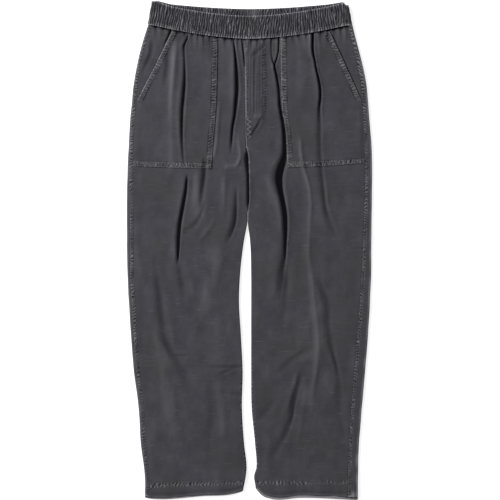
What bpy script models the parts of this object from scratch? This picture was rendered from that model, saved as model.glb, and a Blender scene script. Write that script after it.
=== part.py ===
"""Casual trousers with a gathered elastic waistband, laid flat on their back.

Each cut and sewn piece is its own solid: two front legs, two back legs, two front
patch pockets with slanted mouths, the mock fly and the two halves of the waistband.
Metres. +X is the wearer's left, +Y runs up the trousers, +Z is up from the table, and
the origin is under the middle of the bounding box.
"""

from collections import namedtuple
from math import cos, pi, radians, sin

import bmesh
import bpy
import numpy as np

# Cloth and seams
CLOTH = 0.0014  # washed cotton twill
HEM_DEPTH = 0.0235  # cloth turned up inside, so the wall is double there
SEAM_GAP = 0.0003  # between two pieces that are sewn together
HALF_GAP = SEAM_GAP / 2
VALLEY_FLOOR = 2 * CLOTH + SEAM_GAP + 0.0009  # lowest that a fold's outer face comes
POCKET_LIFT = 0.00035  # a patch's inner face above the panel that it is sewn to
MOUTH_INSET = 0.002  # from a pocket's side edge to the side seam

# Heights above the hem, before the waist seam and the hem are curved
LEGS_MEET = 0.569  # below this the photo shows white between the legs
CROTCH = 0.690
RISE_START = 0.760  # the centre front starts to sink here, down to the crotch
POCKET_FOOT = 0.676
FLY_FOOT = 0.7375
WAIST_FRONT = 0.942  # waist seam at the centre front
WAIST_BACK = 0.957  # and at the centre back, which sits higher
WAIST_SIDE = 0.972
WAIST_FADE = 0.800  # rows above this one bend to follow the waist seam

# Waistband
BAND_HEIGHT = 0.047
BAND_CLOTH = 0.0023  # elastic in its casing, between the gathers
BAND_GATHER = 0.0012  # how far each gather stands up
BAND_LOFT = 0.0083  # both halves, lying on each other, without their gathers
BAND_SIDE = 0.2085  # half the band's width at the waist seam
BAND_TAPER = 0.008  # the band's top edge is this much shorter at each side
BAND_MIDDLE = 0.001
GATHERS_FRONT = 64
GATHERS_BACK = 62
CURVE_POWER = 1.7  # of the waist seam, flat in the middle and steep at the sides

Outline = namedtuple(
    "Outline",
    "height right_outer right_inner left_inner left_outer right_seam left_seam loft",
)
# One row for each section. *_seam is how far the side seam lies in from the outer edge,
# because the back wraps round to the front; loft is the two layers' height at the edges.
OUTLINES = [
    Outline(0.000, -0.2150, -0.0130, 0.0120, 0.2220, 0.007, 0.020, 0.0072),
    Outline(0.030, -0.2140, -0.0085, 0.0090, 0.2220, 0.008, 0.020, 0.0070),
    Outline(0.065, -0.2165, -0.0060, 0.0140, 0.2225, 0.008, 0.020, 0.0056),
    Outline(0.113, -0.2225, -0.0110, 0.0110, 0.2245, 0.009, 0.020, 0.0054),
    Outline(0.187, -0.2275, -0.0155, 0.0040, 0.2300, 0.010, 0.021, 0.0054),
    Outline(0.260, -0.2370, -0.0140, 0.0030, 0.2365, 0.012, 0.021, 0.0054),
    Outline(0.334, -0.2430, -0.0175, 0.0030, 0.2425, 0.012, 0.021, 0.0054),
    Outline(0.408, -0.2475, -0.0215, 0.0030, 0.2470, 0.012, 0.020, 0.0054),
    Outline(0.457, -0.2500, -0.0195, 0.0030, 0.2490, 0.012, 0.019, 0.0054),
    Outline(0.531, -0.2515, -0.0110, 0.0005, 0.2495, 0.013, 0.016, 0.0054),
    Outline(0.569, -0.2515, -0.0041, -0.0041, 0.2500, 0.013, 0.015, 0.0054),
    Outline(0.629, -0.2510, -0.0036, -0.0036, 0.2510, 0.011, 0.014, 0.0054),
    Outline(0.690, -0.2495, -0.0050, -0.0050, 0.2505, 0.010, 0.013, 0.0056),
    Outline(0.728, -0.2475, -0.0068, -0.0068, 0.2490, 0.009, 0.013, 0.0058),
    Outline(0.802, -0.2425, -0.0080, -0.0080, 0.2435, 0.008, 0.011, 0.0060),
    Outline(0.851, -0.2365, -0.0086, -0.0086, 0.2385, 0.007, 0.010, 0.0061),
    Outline(0.900, -0.2240, -0.0100, -0.0100, 0.2250, 0.006, 0.009, 0.0064),
    Outline(0.921, -0.2165, -0.0108, -0.0108, 0.2175, 0.006, 0.008, 0.0067),
    Outline(0.942, -0.2075, -0.0116, -0.0116, 0.2105, 0.006, 0.008, 0.0072),
]

# The hem's lower edge: share of the leg's width from the inside leg out, and its rise.
HEM_RISE = {
    "right": [(0.00, 0.018), (0.08, 0.013), (0.40, 0.008), (1.00, 0.003)],
    "left": [(0.00, 0.026), (0.06, 0.012), (0.15, 0.005), (0.45, 0.007), (1.0, 0.002)],
}
HEM_RISE_FADE = 0.080
BACK_HEM_DROP = {"right": 0.002, "left": 0.0045}  # the back hem shows below the front
POCKET_TILT = {"right": (0.000, 0.006), "left": (0.002, 0.0105)}  # its foot's rise, all over and at the side

Fold = namedtuple("Fold", "depth width lift fade path")
# Troughs, or ridges where depth is negative. lift raises the cloth at both sides of a
# trough, and fade is the length over which it starts and ends. path is (height, x).
FOLDS = [
    # wearer's right front
    Fold(0.0044, 0.0050, 0.0042, 0.050,
         [(0.960, -0.1280), (0.920, -0.1330), (0.860, -0.1333), (0.800, -0.1368),
          (0.735, -0.1376), (0.675, -0.1345)]),
    Fold(0.0050, 0.0060, 0.0044, 0.045,
         [(0.665, -0.1265), (0.600, -0.1345), (0.540, -0.1430), (0.470, -0.1475)]),
    Fold(0.0052, 0.0055, 0.0044, 0.050,
         [(0.930, -0.0330), (0.880, -0.0275), (0.830, -0.0265), (0.770, -0.0345),
          (0.700, -0.0385)]),
    Fold(0.0014, 0.0080, 0.0016, 0.050,
         [(0.780, -0.0830), (0.690, -0.0895), (0.620, -0.0955), (0.560, -0.1020)]),
    Fold(-0.0026, 0.0060, 0.0, 0.050,
         [(0.900, -0.0660), (0.800, -0.0670), (0.690, -0.0765), (0.640, -0.0770)]),
    Fold(0.0020, 0.0070, 0.0024, 0.040,
         [(0.640, -0.0250), (0.570, -0.0265), (0.500, -0.0400)]),
    Fold(0.0018, 0.0110, 0.0020, 0.060,
         [(0.450, -0.1900), (0.380, -0.1800), (0.310, -0.1690), (0.220, -0.1200)]),
    Fold(-0.0022, 0.0100, 0.0, 0.080,
         [(0.920, -0.1540), (0.800, -0.1570), (0.690, -0.1590), (0.600, -0.1620)]),
    # wearer's left front
    Fold(0.0056, 0.0055, 0.0048, 0.040,
         [(0.960, 0.0440), (0.891, 0.0510), (0.856, 0.0586), (0.803, 0.0622),
          (0.755, 0.0707), (0.715, 0.0736), (0.693, 0.0703), (0.671, 0.0615),
          (0.654, 0.0582), (0.632, 0.0627), (0.610, 0.0703), (0.583, 0.0736),
          (0.550, 0.0746), (0.485, 0.0726), (0.420, 0.0620)]),
    Fold(0.0048, 0.0050, 0.0042, 0.050,
         [(0.960, 0.1300), (0.909, 0.1314), (0.865, 0.1396), (0.840, 0.1448),
          (0.804, 0.1431), (0.740, 0.1443), (0.654, 0.1494), (0.580, 0.1600)]),
    Fold(-0.0020, 0.0055, 0.0, 0.060,
         [(0.730, 0.1075), (0.648, 0.1220), (0.600, 0.1240), (0.504, 0.1220),
          (0.420, 0.1330), (0.320, 0.1420), (0.215, 0.1260)]),
    Fold(0.0016, 0.0100, 0.0018, 0.060,
         [(0.460, 0.1450), (0.400, 0.1600), (0.330, 0.1690), (0.240, 0.1870),
          (0.140, 0.1915)]),
    Fold(0.0018, 0.0080, 0.0022, 0.050,
         [(0.240, 0.1010), (0.185, 0.0890), (0.140, 0.0740), (0.080, 0.0500)]),
    # the mock fly's crease, across the centre front
    Fold(0.0012, 0.0060, 0.0030, 0.030,
         [(0.965, -0.0160), (0.910, -0.0125), (0.860, -0.0090)]),
]
SHOULDER = 2.6  # a trough's raised shoulders are this many times as wide as it is

# Lines that the columns of a front follow: where a piece ends, or where a fold runs.
Guide = namedtuple("Guide", "name spread fills path")
# spread adds a column at each side of the line, fills the columns before it.
GUIDES = {
    "right": [
        Guide("crotch_fold", 0.0065, 0,
              [(0.942, -0.0335), (0.880, -0.0278), (0.830, -0.0268), (0.770, -0.0345),
               (0.700, -0.0385), (0.570, -0.0290), (0.500, -0.0430), (0.300, -0.0520),
               (0.000, -0.0420)]),
        Guide("pocket_inner", 0.0, 2,
              [(0.942, -0.0655), (0.870, -0.0665), (0.785, -0.0695), (0.735, -0.0740),
               (0.676, -0.0780), (0.600, -0.0890), (0.400, -0.1000), (0.000, -0.0930)]),
        Guide("pocket_fold", 0.0065, 2,
              [(0.942, -0.1290), (0.900, -0.1345), (0.800, -0.1368), (0.690, -0.1350),
               (0.650, -0.1285), (0.600, -0.1345), (0.540, -0.1430), (0.400, -0.1560),
               (0.000, -0.1450)]),
        Guide("mouth", 0.0, 3,
              [(0.942, -0.1600), (0.885, -0.1920), (0.834, -0.2222), (0.816, -0.2296)]),
    ],
    "left": [
        Guide("fly_edge", 0.0, 1,
              [(0.942, 0.0336), (0.795, 0.0336), (0.780, 0.0322), (0.765, 0.0275),
               (0.750, 0.0170), (0.7375, 0.0020), (0.700, 0.0020), (0.0, 0.0180)]),
        Guide("crotch_fold", 0.0060, 0,
              [(0.942, 0.0460), (0.891, 0.0510), (0.856, 0.0580), (0.803, 0.0612),
               (0.755, 0.0677), (0.715, 0.0712), (0.693, 0.0703), (0.671, 0.0615),
               (0.654, 0.0582), (0.632, 0.0627), (0.610, 0.0703), (0.583, 0.0736),
               (0.550, 0.0746), (0.485, 0.0726), (0.000, 0.0720)]),
        Guide("pocket_inner", 0.0, 0,
              [(0.942, 0.0638), (0.870, 0.0645), (0.800, 0.0670), (0.735, 0.0740),
               (0.676, 0.0785), (0.600, 0.0900), (0.400, 0.1050), (0.000, 0.1000)]),
        Guide("pocket_fold", 0.0065, 2,
              [(0.942, 0.1300), (0.909, 0.1314), (0.865, 0.1396), (0.840, 0.1448),
               (0.804, 0.1431), (0.740, 0.1443), (0.654, 0.1494), (0.560, 0.1600),
               (0.400, 0.1600), (0.000, 0.1650)]),
        Guide("mouth", 0.0, 3,
              [(0.942, 0.1617), (0.885, 0.1937), (0.834, 0.2202), (0.816, 0.2288)]),
    ],
}
SEAM_FILLS = 1  # columns between the mouth line and the side seam
LEAST_STEP = 0.0007  # between two columns
SIDE_FLAT = 0.014  # the folds die out this near to the side seam

# Rows of every leg piece, in heights above the hem
ROWS = [0.0, 0.012, HEM_DEPTH, 0.0255, 0.060, 0.100, 0.145, 0.190, 0.235, 0.280, 0.325,
        0.370, 0.415, 0.460, 0.500, 0.540, 0.569, 0.605, 0.640, 0.662, POCKET_FOOT,
        0.705, 0.722, FLY_FOOT, 0.750, 0.765, 0.780, 0.800, 0.820, 0.834, 0.855, 0.876,
        0.897, 0.915, 0.930, WAIST_FRONT]
BEND_STEPS = 3  # in the quarter turn of an inside-leg edge
BEND_TAIL = 0.0005  # straight end of that turn, so that the seam's faces meet squarely
PART_BENT = 0.12  # shortens an edge that is only part bent, to clear the one below it
WRAP_STEPS = 5  # in the half turn of an outside edge
BACK_COLUMNS = 8  # across the flat of a back leg
GATHER_PITCH = 0.019  # of the small gathers under the waistband
GATHER_HEIGHT = 0.0007
GATHER_REACH = 0.028  # how fast they die out down the leg

GREY = (0.0636, 0.0618, 0.0685, 1.0)  # washed charcoal
GREY_BAND = (0.0580, 0.0565, 0.0640, 1.0)


def interpolate(pairs, at):
    """A smooth curve through (position, value) pairs, read at one position."""
    pairs = sorted(pairs)
    places = np.array([p[0] for p in pairs])
    values = np.array([p[1] for p in pairs])
    slopes = np.gradient(values, places)
    at = min(max(at, places[0]), places[-1])
    i = min(int(np.searchsorted(places, at, "right")) - 1, len(places) - 2)
    step = places[i + 1] - places[i]
    t = (at - places[i]) / step
    start = (2 * t**3 - 3 * t**2 + 1) * values[i] + (t**3 - 2 * t**2 + t) * step * slopes[i]
    end = (3 * t**2 - 2 * t**3) * values[i + 1] + (t**3 - t**2) * step * slopes[i + 1]
    return float(start + end)


def ramp(value, low, high):
    """0 below low, 1 above high, and smooth between."""
    t = min(max((value - low) / (high - low), 0.0), 1.0)
    return t * t * (3 - 2 * t)


def outline(column, height):
    return interpolate([(row.height, getattr(row, column)) for row in OUTLINES], height)


def inner_edge(leg, height):
    """x of a leg's inner edge: its own below LEGS_MEET, and the centre seam's above."""
    if height < LEGS_MEET:
        return outline(leg + "_inner", height)
    return (outline("right_inner", height) + outline("left_inner", height)) / 2


def waist_curve(x, middle, side):
    """Height of a seam that sags from the sides to the middle of the waist."""
    share = abs(x - BAND_MIDDLE) / BAND_SIDE
    return middle + (side - middle) * share**CURVE_POWER


def row_height(leg, x, height, frontness):
    """Real height of a row's point, bent to the waist seam and the hem; 1 is the front's face."""
    waist = WAIST_BACK + (WAIST_FRONT - WAIST_BACK) * frontness
    lift = ((height - WAIST_FADE) / (WAIST_FRONT - WAIST_FADE)) ** 2 if height > WAIST_FADE else 0
    raised = (waist_curve(x, waist, WAIST_SIDE) - WAIST_FRONT) * lift
    inner = inner_edge(leg, 0.0)
    share = (x - inner) / (outline(leg + "_outer", 0.0) - inner)
    hem = interpolate(HEM_RISE[leg], share) - BACK_HEM_DROP[leg] * (1 - frontness)
    raised += hem * (1 - ramp(height, 0.0, HEM_RISE_FADE))
    near_pocket_foot = max(0.0, 1 - abs(height - POCKET_FOOT) / 0.08)
    rise, tilt = POCKET_TILT[leg]
    return height + raised + near_pocket_foot * (rise + tilt * (x / 0.24) ** 2)


def fold_relief(x, height):
    """How far the folds raise or sink the cloth at a point."""
    relief = 0.0
    for fold in FOLDS:
        top, foot = fold.path[0][0], fold.path[-1][0]
        strength = ramp(height, foot, foot + fold.fade) * (1 - ramp(height, top - fold.fade, top))
        if strength > 0:
            off = (x - interpolate(fold.path, height)) / fold.width
            relief += strength * fold.lift * np.exp(-((off / SHOULDER) ** 2))
            relief -= strength * (fold.depth + fold.lift) * np.exp(-(off**2))
    return relief


def gather_relief(x, height):
    """Small gathers where the cloth is drawn into the waistband."""
    strength = np.exp(-(WAIST_FRONT - height) / GATHER_REACH)
    wave = sin(2 * pi * x / GATHER_PITCH) + 0.5 * sin(2 * pi * x / (1.7 * GATHER_PITCH) + 1)
    return GATHER_HEIGHT * strength * wave


def front_level(x, height, share):
    """Outer face of the front above the table, with this share of its folds' relief."""
    loft = outline("loft", height)
    relief = fold_relief(x, height) + gather_relief(x, height)
    return loft + share * (max(loft + relief, VALLEY_FLOOR) - loft)


def bent_end(radius, turn):
    """An edge that bends through turn, as (run, drop) pairs from its flat start to its end."""
    length = radius * pi / 2 * (1 - PART_BENT * sin(2 * turn))
    bend = max(turn, 0.01)
    points = []
    for step in range(BEND_STEPS + 1):
        angle = bend * step / BEND_STEPS
        points.append((length / bend * sin(angle), length / bend * (1 - cos(angle))))
    run, drop = points[-1]
    points.append((run + BEND_TAIL * cos(bend), drop + BEND_TAIL * sin(bend)))
    return points


def inner_bend(height, loft):
    """The bent edge at the centre seam or the inside leg, flat above the crotch."""
    turn = radians(90) * (1 - ramp(height, CROTCH, RISE_START))
    return bent_end(loft / 2 - BEND_TAIL - HALF_GAP, turn)


def front_columns(leg, side, height, flat_start):
    """x of the columns from the end of the inner bend to the side seam, and the guides' places."""
    seam = outline(leg + "_outer", height) - side * (outline(leg + "_seam", height) + HALF_GAP)
    marks, places = [flat_start], {}
    for guide in GUIDES[leg]:
        line = interpolate(guide.path, height)
        if guide.name == "mouth":
            line = side * min(side * line, side * seam - MOUTH_INSET)
        first = line - side * guide.spread
        marks += list(np.linspace(marks[-1], first, guide.fills + 2)[1:])
        if guide.spread:
            marks += [line, line + side * guide.spread]
        places[guide.name] = len(marks) - 1
    marks += list(np.linspace(marks[-1], seam, SEAM_FILLS + 2)[1:])
    outward = [side * mark for mark in marks]
    for i in range(1, len(outward)):
        outward[i] = max(outward[i], outward[i - 1] + LEAST_STEP)
    outward[-1] = side * seam
    for i in range(len(outward) - 2, -1, -1):
        outward[i] = min(outward[i], outward[i + 1] - LEAST_STEP)
    return [side * out for out in outward], places


def front_grid(leg, side):
    """The outer face of a front leg: rows of points, and each guide's column."""
    grid, places = [], {}
    for height in ROWS:
        loft = outline("loft", height)
        inner = inner_edge(leg, height) + side * HALF_GAP
        bend = inner_bend(height, loft)
        flat_start = inner + side * bend[-1][0]
        row = []
        for run, drop in reversed(bend[1:]):
            x = flat_start - side * run
            level = row_height(leg, x, height, 1 - drop / loft)
            row.append((x, level, front_level(x, height, 1 - 2 * drop / loft) - drop))
        columns, places = front_columns(leg, side, height, flat_start)
        for x in columns:
            share = ramp(side * (columns[-1] - x), 0.0, SIDE_FLAT)
            row.append((x, row_height(leg, x, height, 1.0), front_level(x, height, share)))
        grid.append(row)
    shift = len(grid[0]) - len(columns)
    return np.array(grid), {name: place + shift for name, place in places.items()}


def back_grid(leg, side):
    """The outer face of a back leg, which wraps round the outer edge to the side seam."""
    grid = []
    for height in ROWS:
        loft = outline("loft", height)
        inner = inner_edge(leg, height) + side * HALF_GAP
        outer = outline(leg + "_outer", height)
        bend = inner_bend(height, loft)
        flat_start = inner + side * bend[-1][0]
        section = [(flat_start - side * run, drop) for run, drop in reversed(bend)]
        radius = loft / 2
        flat_end = outer - side * radius
        section += [(x, 0.0) for x in np.linspace(flat_start, flat_end, BACK_COLUMNS)[1:-1]]
        for step in range(WRAP_STEPS + 1):
            angle = pi * step / WRAP_STEPS
            section.append((flat_end + side * radius * sin(angle), radius * (1 - cos(angle))))
        seam = outer - side * (outline(leg + "_seam", height) - HALF_GAP)
        section.append((seam, loft))
        grid.append([(x, row_height(leg, x, height, z / loft), z) for x, z in section])
    return np.array(grid)


def surface(grid, faces_up):
    """An open bmesh over a grid of points, facing up or down."""
    mesh = bmesh.new()
    rows = [[mesh.verts.new(point) for point in row] for row in grid]
    for lower, upper in zip(rows, rows[1:]):
        for a, b, c, d in zip(lower, lower[1:], upper[1:], upper):
            mesh.faces.new((a, b, c, d))
    mesh.normal_update()
    tilt = sum(face.normal.z * face.calc_area() for face in mesh.faces)
    if (tilt > 0) != faces_up:
        bmesh.ops.reverse_faces(mesh, faces=mesh.faces)
    mesh.normal_update()
    return mesh


def moved_out(grid, distance):
    """The same grid moved out from its face, evenly over its folds too."""
    mesh = surface(grid, True)
    points = [vert.co + vert.normal * distance * vert.calc_shell_factor() for vert in mesh.verts]
    mesh.free()
    return np.array(points).reshape(grid.shape)


def material(name, colour):
    made = bpy.data.materials.new(name)
    made.use_nodes = True
    shader = made.node_tree.nodes["Principled BSDF"]
    shader.inputs["Base Color"].default_value = colour
    shader.inputs["Roughness"].default_value = 0.92
    shader.inputs["Metallic"].default_value = 0.0
    return made


def add_object(name, mesh, finish, parent):
    data = bpy.data.meshes.new(name)
    mesh.to_mesh(data)
    mesh.free()
    data.materials.append(finish)
    made = bpy.data.objects.new(name, data)
    parent.users_collection[0].objects.link(made)
    made.parent = parent
    return made


def cloth_wall(name, grid, faces_up, finish, parent, hem_rows=0):
    """A cloth piece: its outer face, thickened inwards, and double over the hem's rows."""
    mesh = surface(grid, faces_up)
    piece = add_object(name, mesh, finish, parent)
    wall = piece.modifiers.new("cloth", "SOLIDIFY")
    wall.thickness = CLOTH
    wall.offset = -1
    wall.use_even_offset = True
    if hem_rows:
        turned_up = piece.vertex_groups.new(name="turned_up")
        in_hem = hem_rows * grid.shape[1]
        turned_up.add(list(range(in_hem)), 1.0, "REPLACE")
        turned_up.add(list(range(in_hem, len(piece.data.vertices))), 0.5, "REPLACE")
        wall.vertex_group = "turned_up"
        wall.thickness = 2 * CLOTH
    return piece


def band_half(name, gathers, is_front, top_middle, foot_middle, finish, parent):
    """Half of the waistband, gathered on its upper face, with its ends turned to the side seams."""
    wander = np.random.default_rng(gathers)
    radius = (BAND_LOFT - BAND_CLOTH) / 2
    up = 1 if is_front else -1
    turns = [radians(a) for a in (90, 60, 30)]
    flat = np.linspace(-1, 1, 2 * gathers + 1)
    flat[1:-1] += wander.uniform(-0.28, 0.28, len(flat) - 2) / gathers
    rings = []
    for end, place in [(-1, t) for t in turns] + [(0, f) for f in flat] + [(1, t) for t in turns[::-1]]:
        turned = place if end else 0.0
        along = end if end else place
        reach = radius * sin(turned)
        centre = BAND_LOFT / 2 + up * radius * cos(turned)
        normal = np.array([end * sin(turned), 0.0, up * cos(turned)])
        crest = (len(rings) % 2) * BAND_GATHER * wander.uniform(0.75, 1.0) * (not end)
        ring = []
        for share, side_of_wall, raised in BAND_RING:
            half = BAND_SIDE - BAND_TAPER * share - radius - BAND_CLOTH / 2
            x = BAND_MIDDLE + along * half + end * reach
            foot = waist_curve(x, foot_middle, WAIST_SIDE) + SEAM_GAP
            top = waist_curve(x, top_middle, WAIST_SIDE + BAND_HEIGHT)
            outward = side_of_wall if is_front else -side_of_wall
            lift = BAND_CLOTH / 2 + crest * raised
            offset = normal * outward * lift
            if not is_front and end:
                offset = normal * outward * BAND_CLOTH / 2
            if end and abs(turned - radians(90)) < 0.01:
                centre = BAND_LOFT / 2 + up * HALF_GAP
            ring.append((x + offset[0], foot + (top - foot) * share, centre + offset[2]))
        rings.append(ring)
    mesh = bmesh.new()
    loops = [[mesh.verts.new(point) for point in ring] for ring in rings]
    for first, second in zip(loops, loops[1:]):
        for i in range(len(first)):
            j = (i + 1) % len(first)
            mesh.faces.new((first[i], first[j], second[j], second[i]))
    mesh.faces.new(loops[0])
    mesh.faces.new(loops[-1])
    bmesh.ops.recalc_face_normals(mesh, faces=mesh.faces)
    return add_object(name, mesh, finish, parent)


# A ring of the band: share of its height, which face (1 gathered, -1 plain), and how far
# the gathers rise there.
BAND_RING = [(0.0, 1, 0.1), (0.09, 1, 0.8), (0.5, 1, 1.0), (0.92, 1, 0.8), (1.0, 1, 0.2),
             (1.0, -1, 0.0), (0.0, -1, 0.0)]


def build_leg(leg, side, cloth, parent):
    """Front, back and patch pocket of one leg; the left front carries the mock fly too."""
    grid, guides = front_grid(leg, side)
    hem_rows = ROWS.index(HEM_DEPTH) + 1
    pieces = [
        cloth_wall("front_" + leg, grid, True, cloth, parent, hem_rows),
        cloth_wall("back_" + leg, back_grid(leg, side), False, cloth, parent, hem_rows),
    ]
    patch = moved_out(grid, POCKET_LIFT + CLOTH)
    top_rows = slice(ROWS.index(POCKET_FOOT), None)
    across = slice(guides["pocket_inner"], guides["mouth"] + 1)
    pieces.append(cloth_wall("pocket_" + leg, patch[top_rows, across], True, cloth, parent))
    if leg == "left":
        top_rows = slice(ROWS.index(FLY_FOOT), None)
        across = slice(0, guides["fly_edge"] + 1)
        pieces.append(cloth_wall("fly", patch[top_rows, across], True, cloth, parent))
    return pieces


def centre_on_origin(pieces, parent):
    """Moves the parent so that the trousers lie on the origin, under their box's middle."""
    bpy.context.view_layer.update()
    graph = bpy.context.evaluated_depsgraph_get()
    corners = []
    for piece in pieces:
        shown = piece.evaluated_get(graph)
        corners += [shown.matrix_world @ vert.co for vert in shown.to_mesh().vertices]
        shown.to_mesh_clear()
    points = np.array(corners)
    middle = (points.min(0) + points.max(0)) / 2
    parent.location = (-middle[0], -middle[1], -points[:, 2].min())


def main():
    for old in list(bpy.data.objects):
        bpy.data.objects.remove(old)
    collection = bpy.data.collections.new("trousers")
    bpy.context.scene.collection.children.link(collection)
    parent = bpy.data.objects.new("trousers", None)
    collection.objects.link(parent)
    cloth = material("washed_twill", GREY)
    band_cloth = material("gathered_band", GREY_BAND)
    pieces = build_leg("right", -1, cloth, parent) + build_leg("left", 1, cloth, parent)
    pieces.append(band_half("waistband_front", GATHERS_FRONT, True, 0.989, WAIST_FRONT, band_cloth, parent))
    pieces.append(band_half("waistband_back", GATHERS_BACK, False, 1.004, WAIST_BACK, band_cloth, parent))
    centre_on_origin(pieces, parent)


main()
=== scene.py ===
# %% [markdown]
# Casual trousers with a gathered elastic waistband, laid flat on their back and seen from
# straight above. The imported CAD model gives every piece's place and size. This lesson
# replaces each plain solid by finely folded cloth, sews it with real stitches, and gives
# it the finish of a washed cotton twill.

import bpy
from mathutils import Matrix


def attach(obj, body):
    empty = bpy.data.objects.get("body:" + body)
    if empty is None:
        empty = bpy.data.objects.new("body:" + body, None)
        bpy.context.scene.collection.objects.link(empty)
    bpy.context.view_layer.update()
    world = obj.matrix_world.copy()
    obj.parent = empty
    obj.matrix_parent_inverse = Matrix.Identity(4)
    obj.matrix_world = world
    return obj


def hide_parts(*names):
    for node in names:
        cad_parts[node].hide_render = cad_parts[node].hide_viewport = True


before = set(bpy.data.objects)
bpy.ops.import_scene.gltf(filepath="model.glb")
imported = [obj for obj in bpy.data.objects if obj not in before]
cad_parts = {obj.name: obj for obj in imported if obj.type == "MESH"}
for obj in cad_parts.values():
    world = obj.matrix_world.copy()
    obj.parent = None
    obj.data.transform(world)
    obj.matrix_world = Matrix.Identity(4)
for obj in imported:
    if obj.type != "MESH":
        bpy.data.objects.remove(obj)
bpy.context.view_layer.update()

# %% Modules
from collections import namedtuple

import bpy
import numpy as np

# %% [markdown]
# The camera hangs over the middle of the trousers and looks straight down, as on a copy
# stand. A long lens from far away keeps the edges from leaning, so one picture element is
# about two millimetres everywhere.

# %% Camera
PICTURE_WIDTH = 1.025  # metres across the picture, at the floor
CAMERA_HEIGHT = 3.4
CAMERA_PLACE = (0.0011, 0.0024, CAMERA_HEIGHT)


def placed(name, data, place=(0.0, 0.0, 0.0)):
    """A new object in the scene that holds this data."""
    made = bpy.data.objects.new(name, data)
    made.location = place
    bpy.context.scene.collection.objects.link(made)
    return made


camera_data = bpy.data.cameras.new("copy_stand")
camera_data.lens = camera_data.sensor_width * CAMERA_HEIGHT / PICTURE_WIDTH
bpy.context.scene.camera = placed("copy_stand", camera_data, CAMERA_PLACE)
print("lens of", round(camera_data.lens), "mm")

# %% [markdown]
# Colours are written as sRGB hex values, the way they are read from a screen. Blender
# mixes light in linear values, so one function turns the first into the second. Another
# adds a node to a material with its settings and its links, which keeps each material
# readable from its base colour to its bump.

# %% Colours and nodes


def linear(hex_colour):
    """An sRGB hex colour as the linear RGBA that Blender's sockets take."""
    parts = [int(hex_colour[i:i + 2], 16) / 255 for i in (1, 3, 5)]
    return [p / 12.92 if p <= 0.04045 else ((p + 0.055) / 1.055) ** 2.4 for p in parts] + [1.0]


def add_node(tree, kind, settings=None, values=None, links=None):
    """A node with its settings, its sockets' values, and links from other nodes' sockets."""
    node = tree.nodes.new(kind)
    for key, value in (settings or {}).items():
        setattr(node, key, value)
    for socket, value in (values or {}).items():
        node.inputs[socket].default_value = value
    for socket, source in (links or {}).items():
        tree.links.new(source, node.inputs[socket])
    return node


# %% [markdown]
# The light is one large soft box at the upper left and an even white surround. The floor is
# a white acrylic sheet lit from below, which is how cut-outs are photographed without a
# shadow.

# %% Floor, soft box and surround
FLOOR_WIDTH = 60.0
FLOOR_DROP = 0.0002  # keeps the floor from touching the cloth's underside
FLOOR_GLOW = 0.68
KEY_PLACE = (-3.00, 2.03, 2.18)
KEY_SIZE = 1.65
KEY_POWER = 169.0
SURROUND = 0.27
WHITE = (1.0, 1.0, 1.0, 1.0)

white_acrylic = bpy.data.materials.new("white_acrylic_lit_from_below")
white_acrylic.use_nodes = True
shader = white_acrylic.node_tree.nodes["Principled BSDF"]
shader.inputs["Base Color"].default_value = linear("#F4F4F4")
shader.inputs["Roughness"].default_value = 0.7
shader.inputs["Emission Color"].default_value = WHITE
shader.inputs["Emission Strength"].default_value = FLOOR_GLOW

half = FLOOR_WIDTH / 2
corners = [(-half, -half, 0), (half, -half, 0), (half, half, 0), (-half, half, 0)]
floor_mesh = bpy.data.meshes.new("floor")
floor_mesh.from_pydata(corners, [], [(0, 1, 2, 3)])
floor_mesh.materials.append(white_acrylic)
floor = placed("floor", floor_mesh, (0.0, 0.0, -FLOOR_DROP))

key_data = bpy.data.lights.new("soft_box", "AREA")
key_data.shape = "DISK"
key_data.size = KEY_SIZE
key_data.energy = KEY_POWER
key = placed("soft_box", key_data, KEY_PLACE)
key.rotation_mode = "QUATERNION"
key.rotation_quaternion = key.location.to_track_quat("Z", "Y")

world = bpy.data.worlds.new("white_surround")
world.use_nodes = True
background = world.node_tree.nodes["Background"]
background.inputs["Color"].default_value = WHITE
background.inputs["Strength"].default_value = SURROUND
bpy.context.scene.world = world
bpy.context.scene.view_settings.view_transform = "Standard"
print("floor, soft box and surround")

# %% [markdown]
# Numbers that change along the trousers, such as the outline, are short tables read with a
# smooth curve. Random unevenness is a field of smooth hills from a seeded generator, so
# every run gives the same cloth.

# %% Curves, ramps and hills


def curve(pairs, at):
    """A smooth curve through (position, value) pairs, read at many positions."""
    pairs = sorted(pairs)
    places = np.array([pair[0] for pair in pairs])
    values = np.array([pair[1] for pair in pairs])
    slopes = np.gradient(values, places)
    at = np.clip(at, places[0], places[-1])
    i = np.clip(np.searchsorted(places, at, "right") - 1, 0, len(places) - 2)
    step = places[i + 1] - places[i]
    t = (at - places[i]) / step
    start = (2 * t**3 - 3 * t**2 + 1) * values[i] + (t**3 - 2 * t**2 + t) * step * slopes[i]
    return start + (3 * t**2 - 2 * t**3) * values[i + 1] + (t**3 - t**2) * step * slopes[i + 1]


def unit(value):
    """The value, held between 0 and 1."""
    return np.clip(value, 0.0, 1.0)


def ramp(value, low, high):
    """0 below low, 1 above high, and smooth between."""
    t = unit((value - low) / (high - low))
    return t * t * (3 - 2 * t)


def span(value, start, full, fading, end):
    """0 outside start and end, 1 from full to fading, and smooth between."""
    return ramp(value, start, full) * (1 - ramp(value, fading, end))


def bump(distance, width):
    """1 at no distance, and falling smoothly to nothing over about twice the width."""
    return np.exp(-(distance / width) ** 2)


HILL_CELLS = 512


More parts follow.
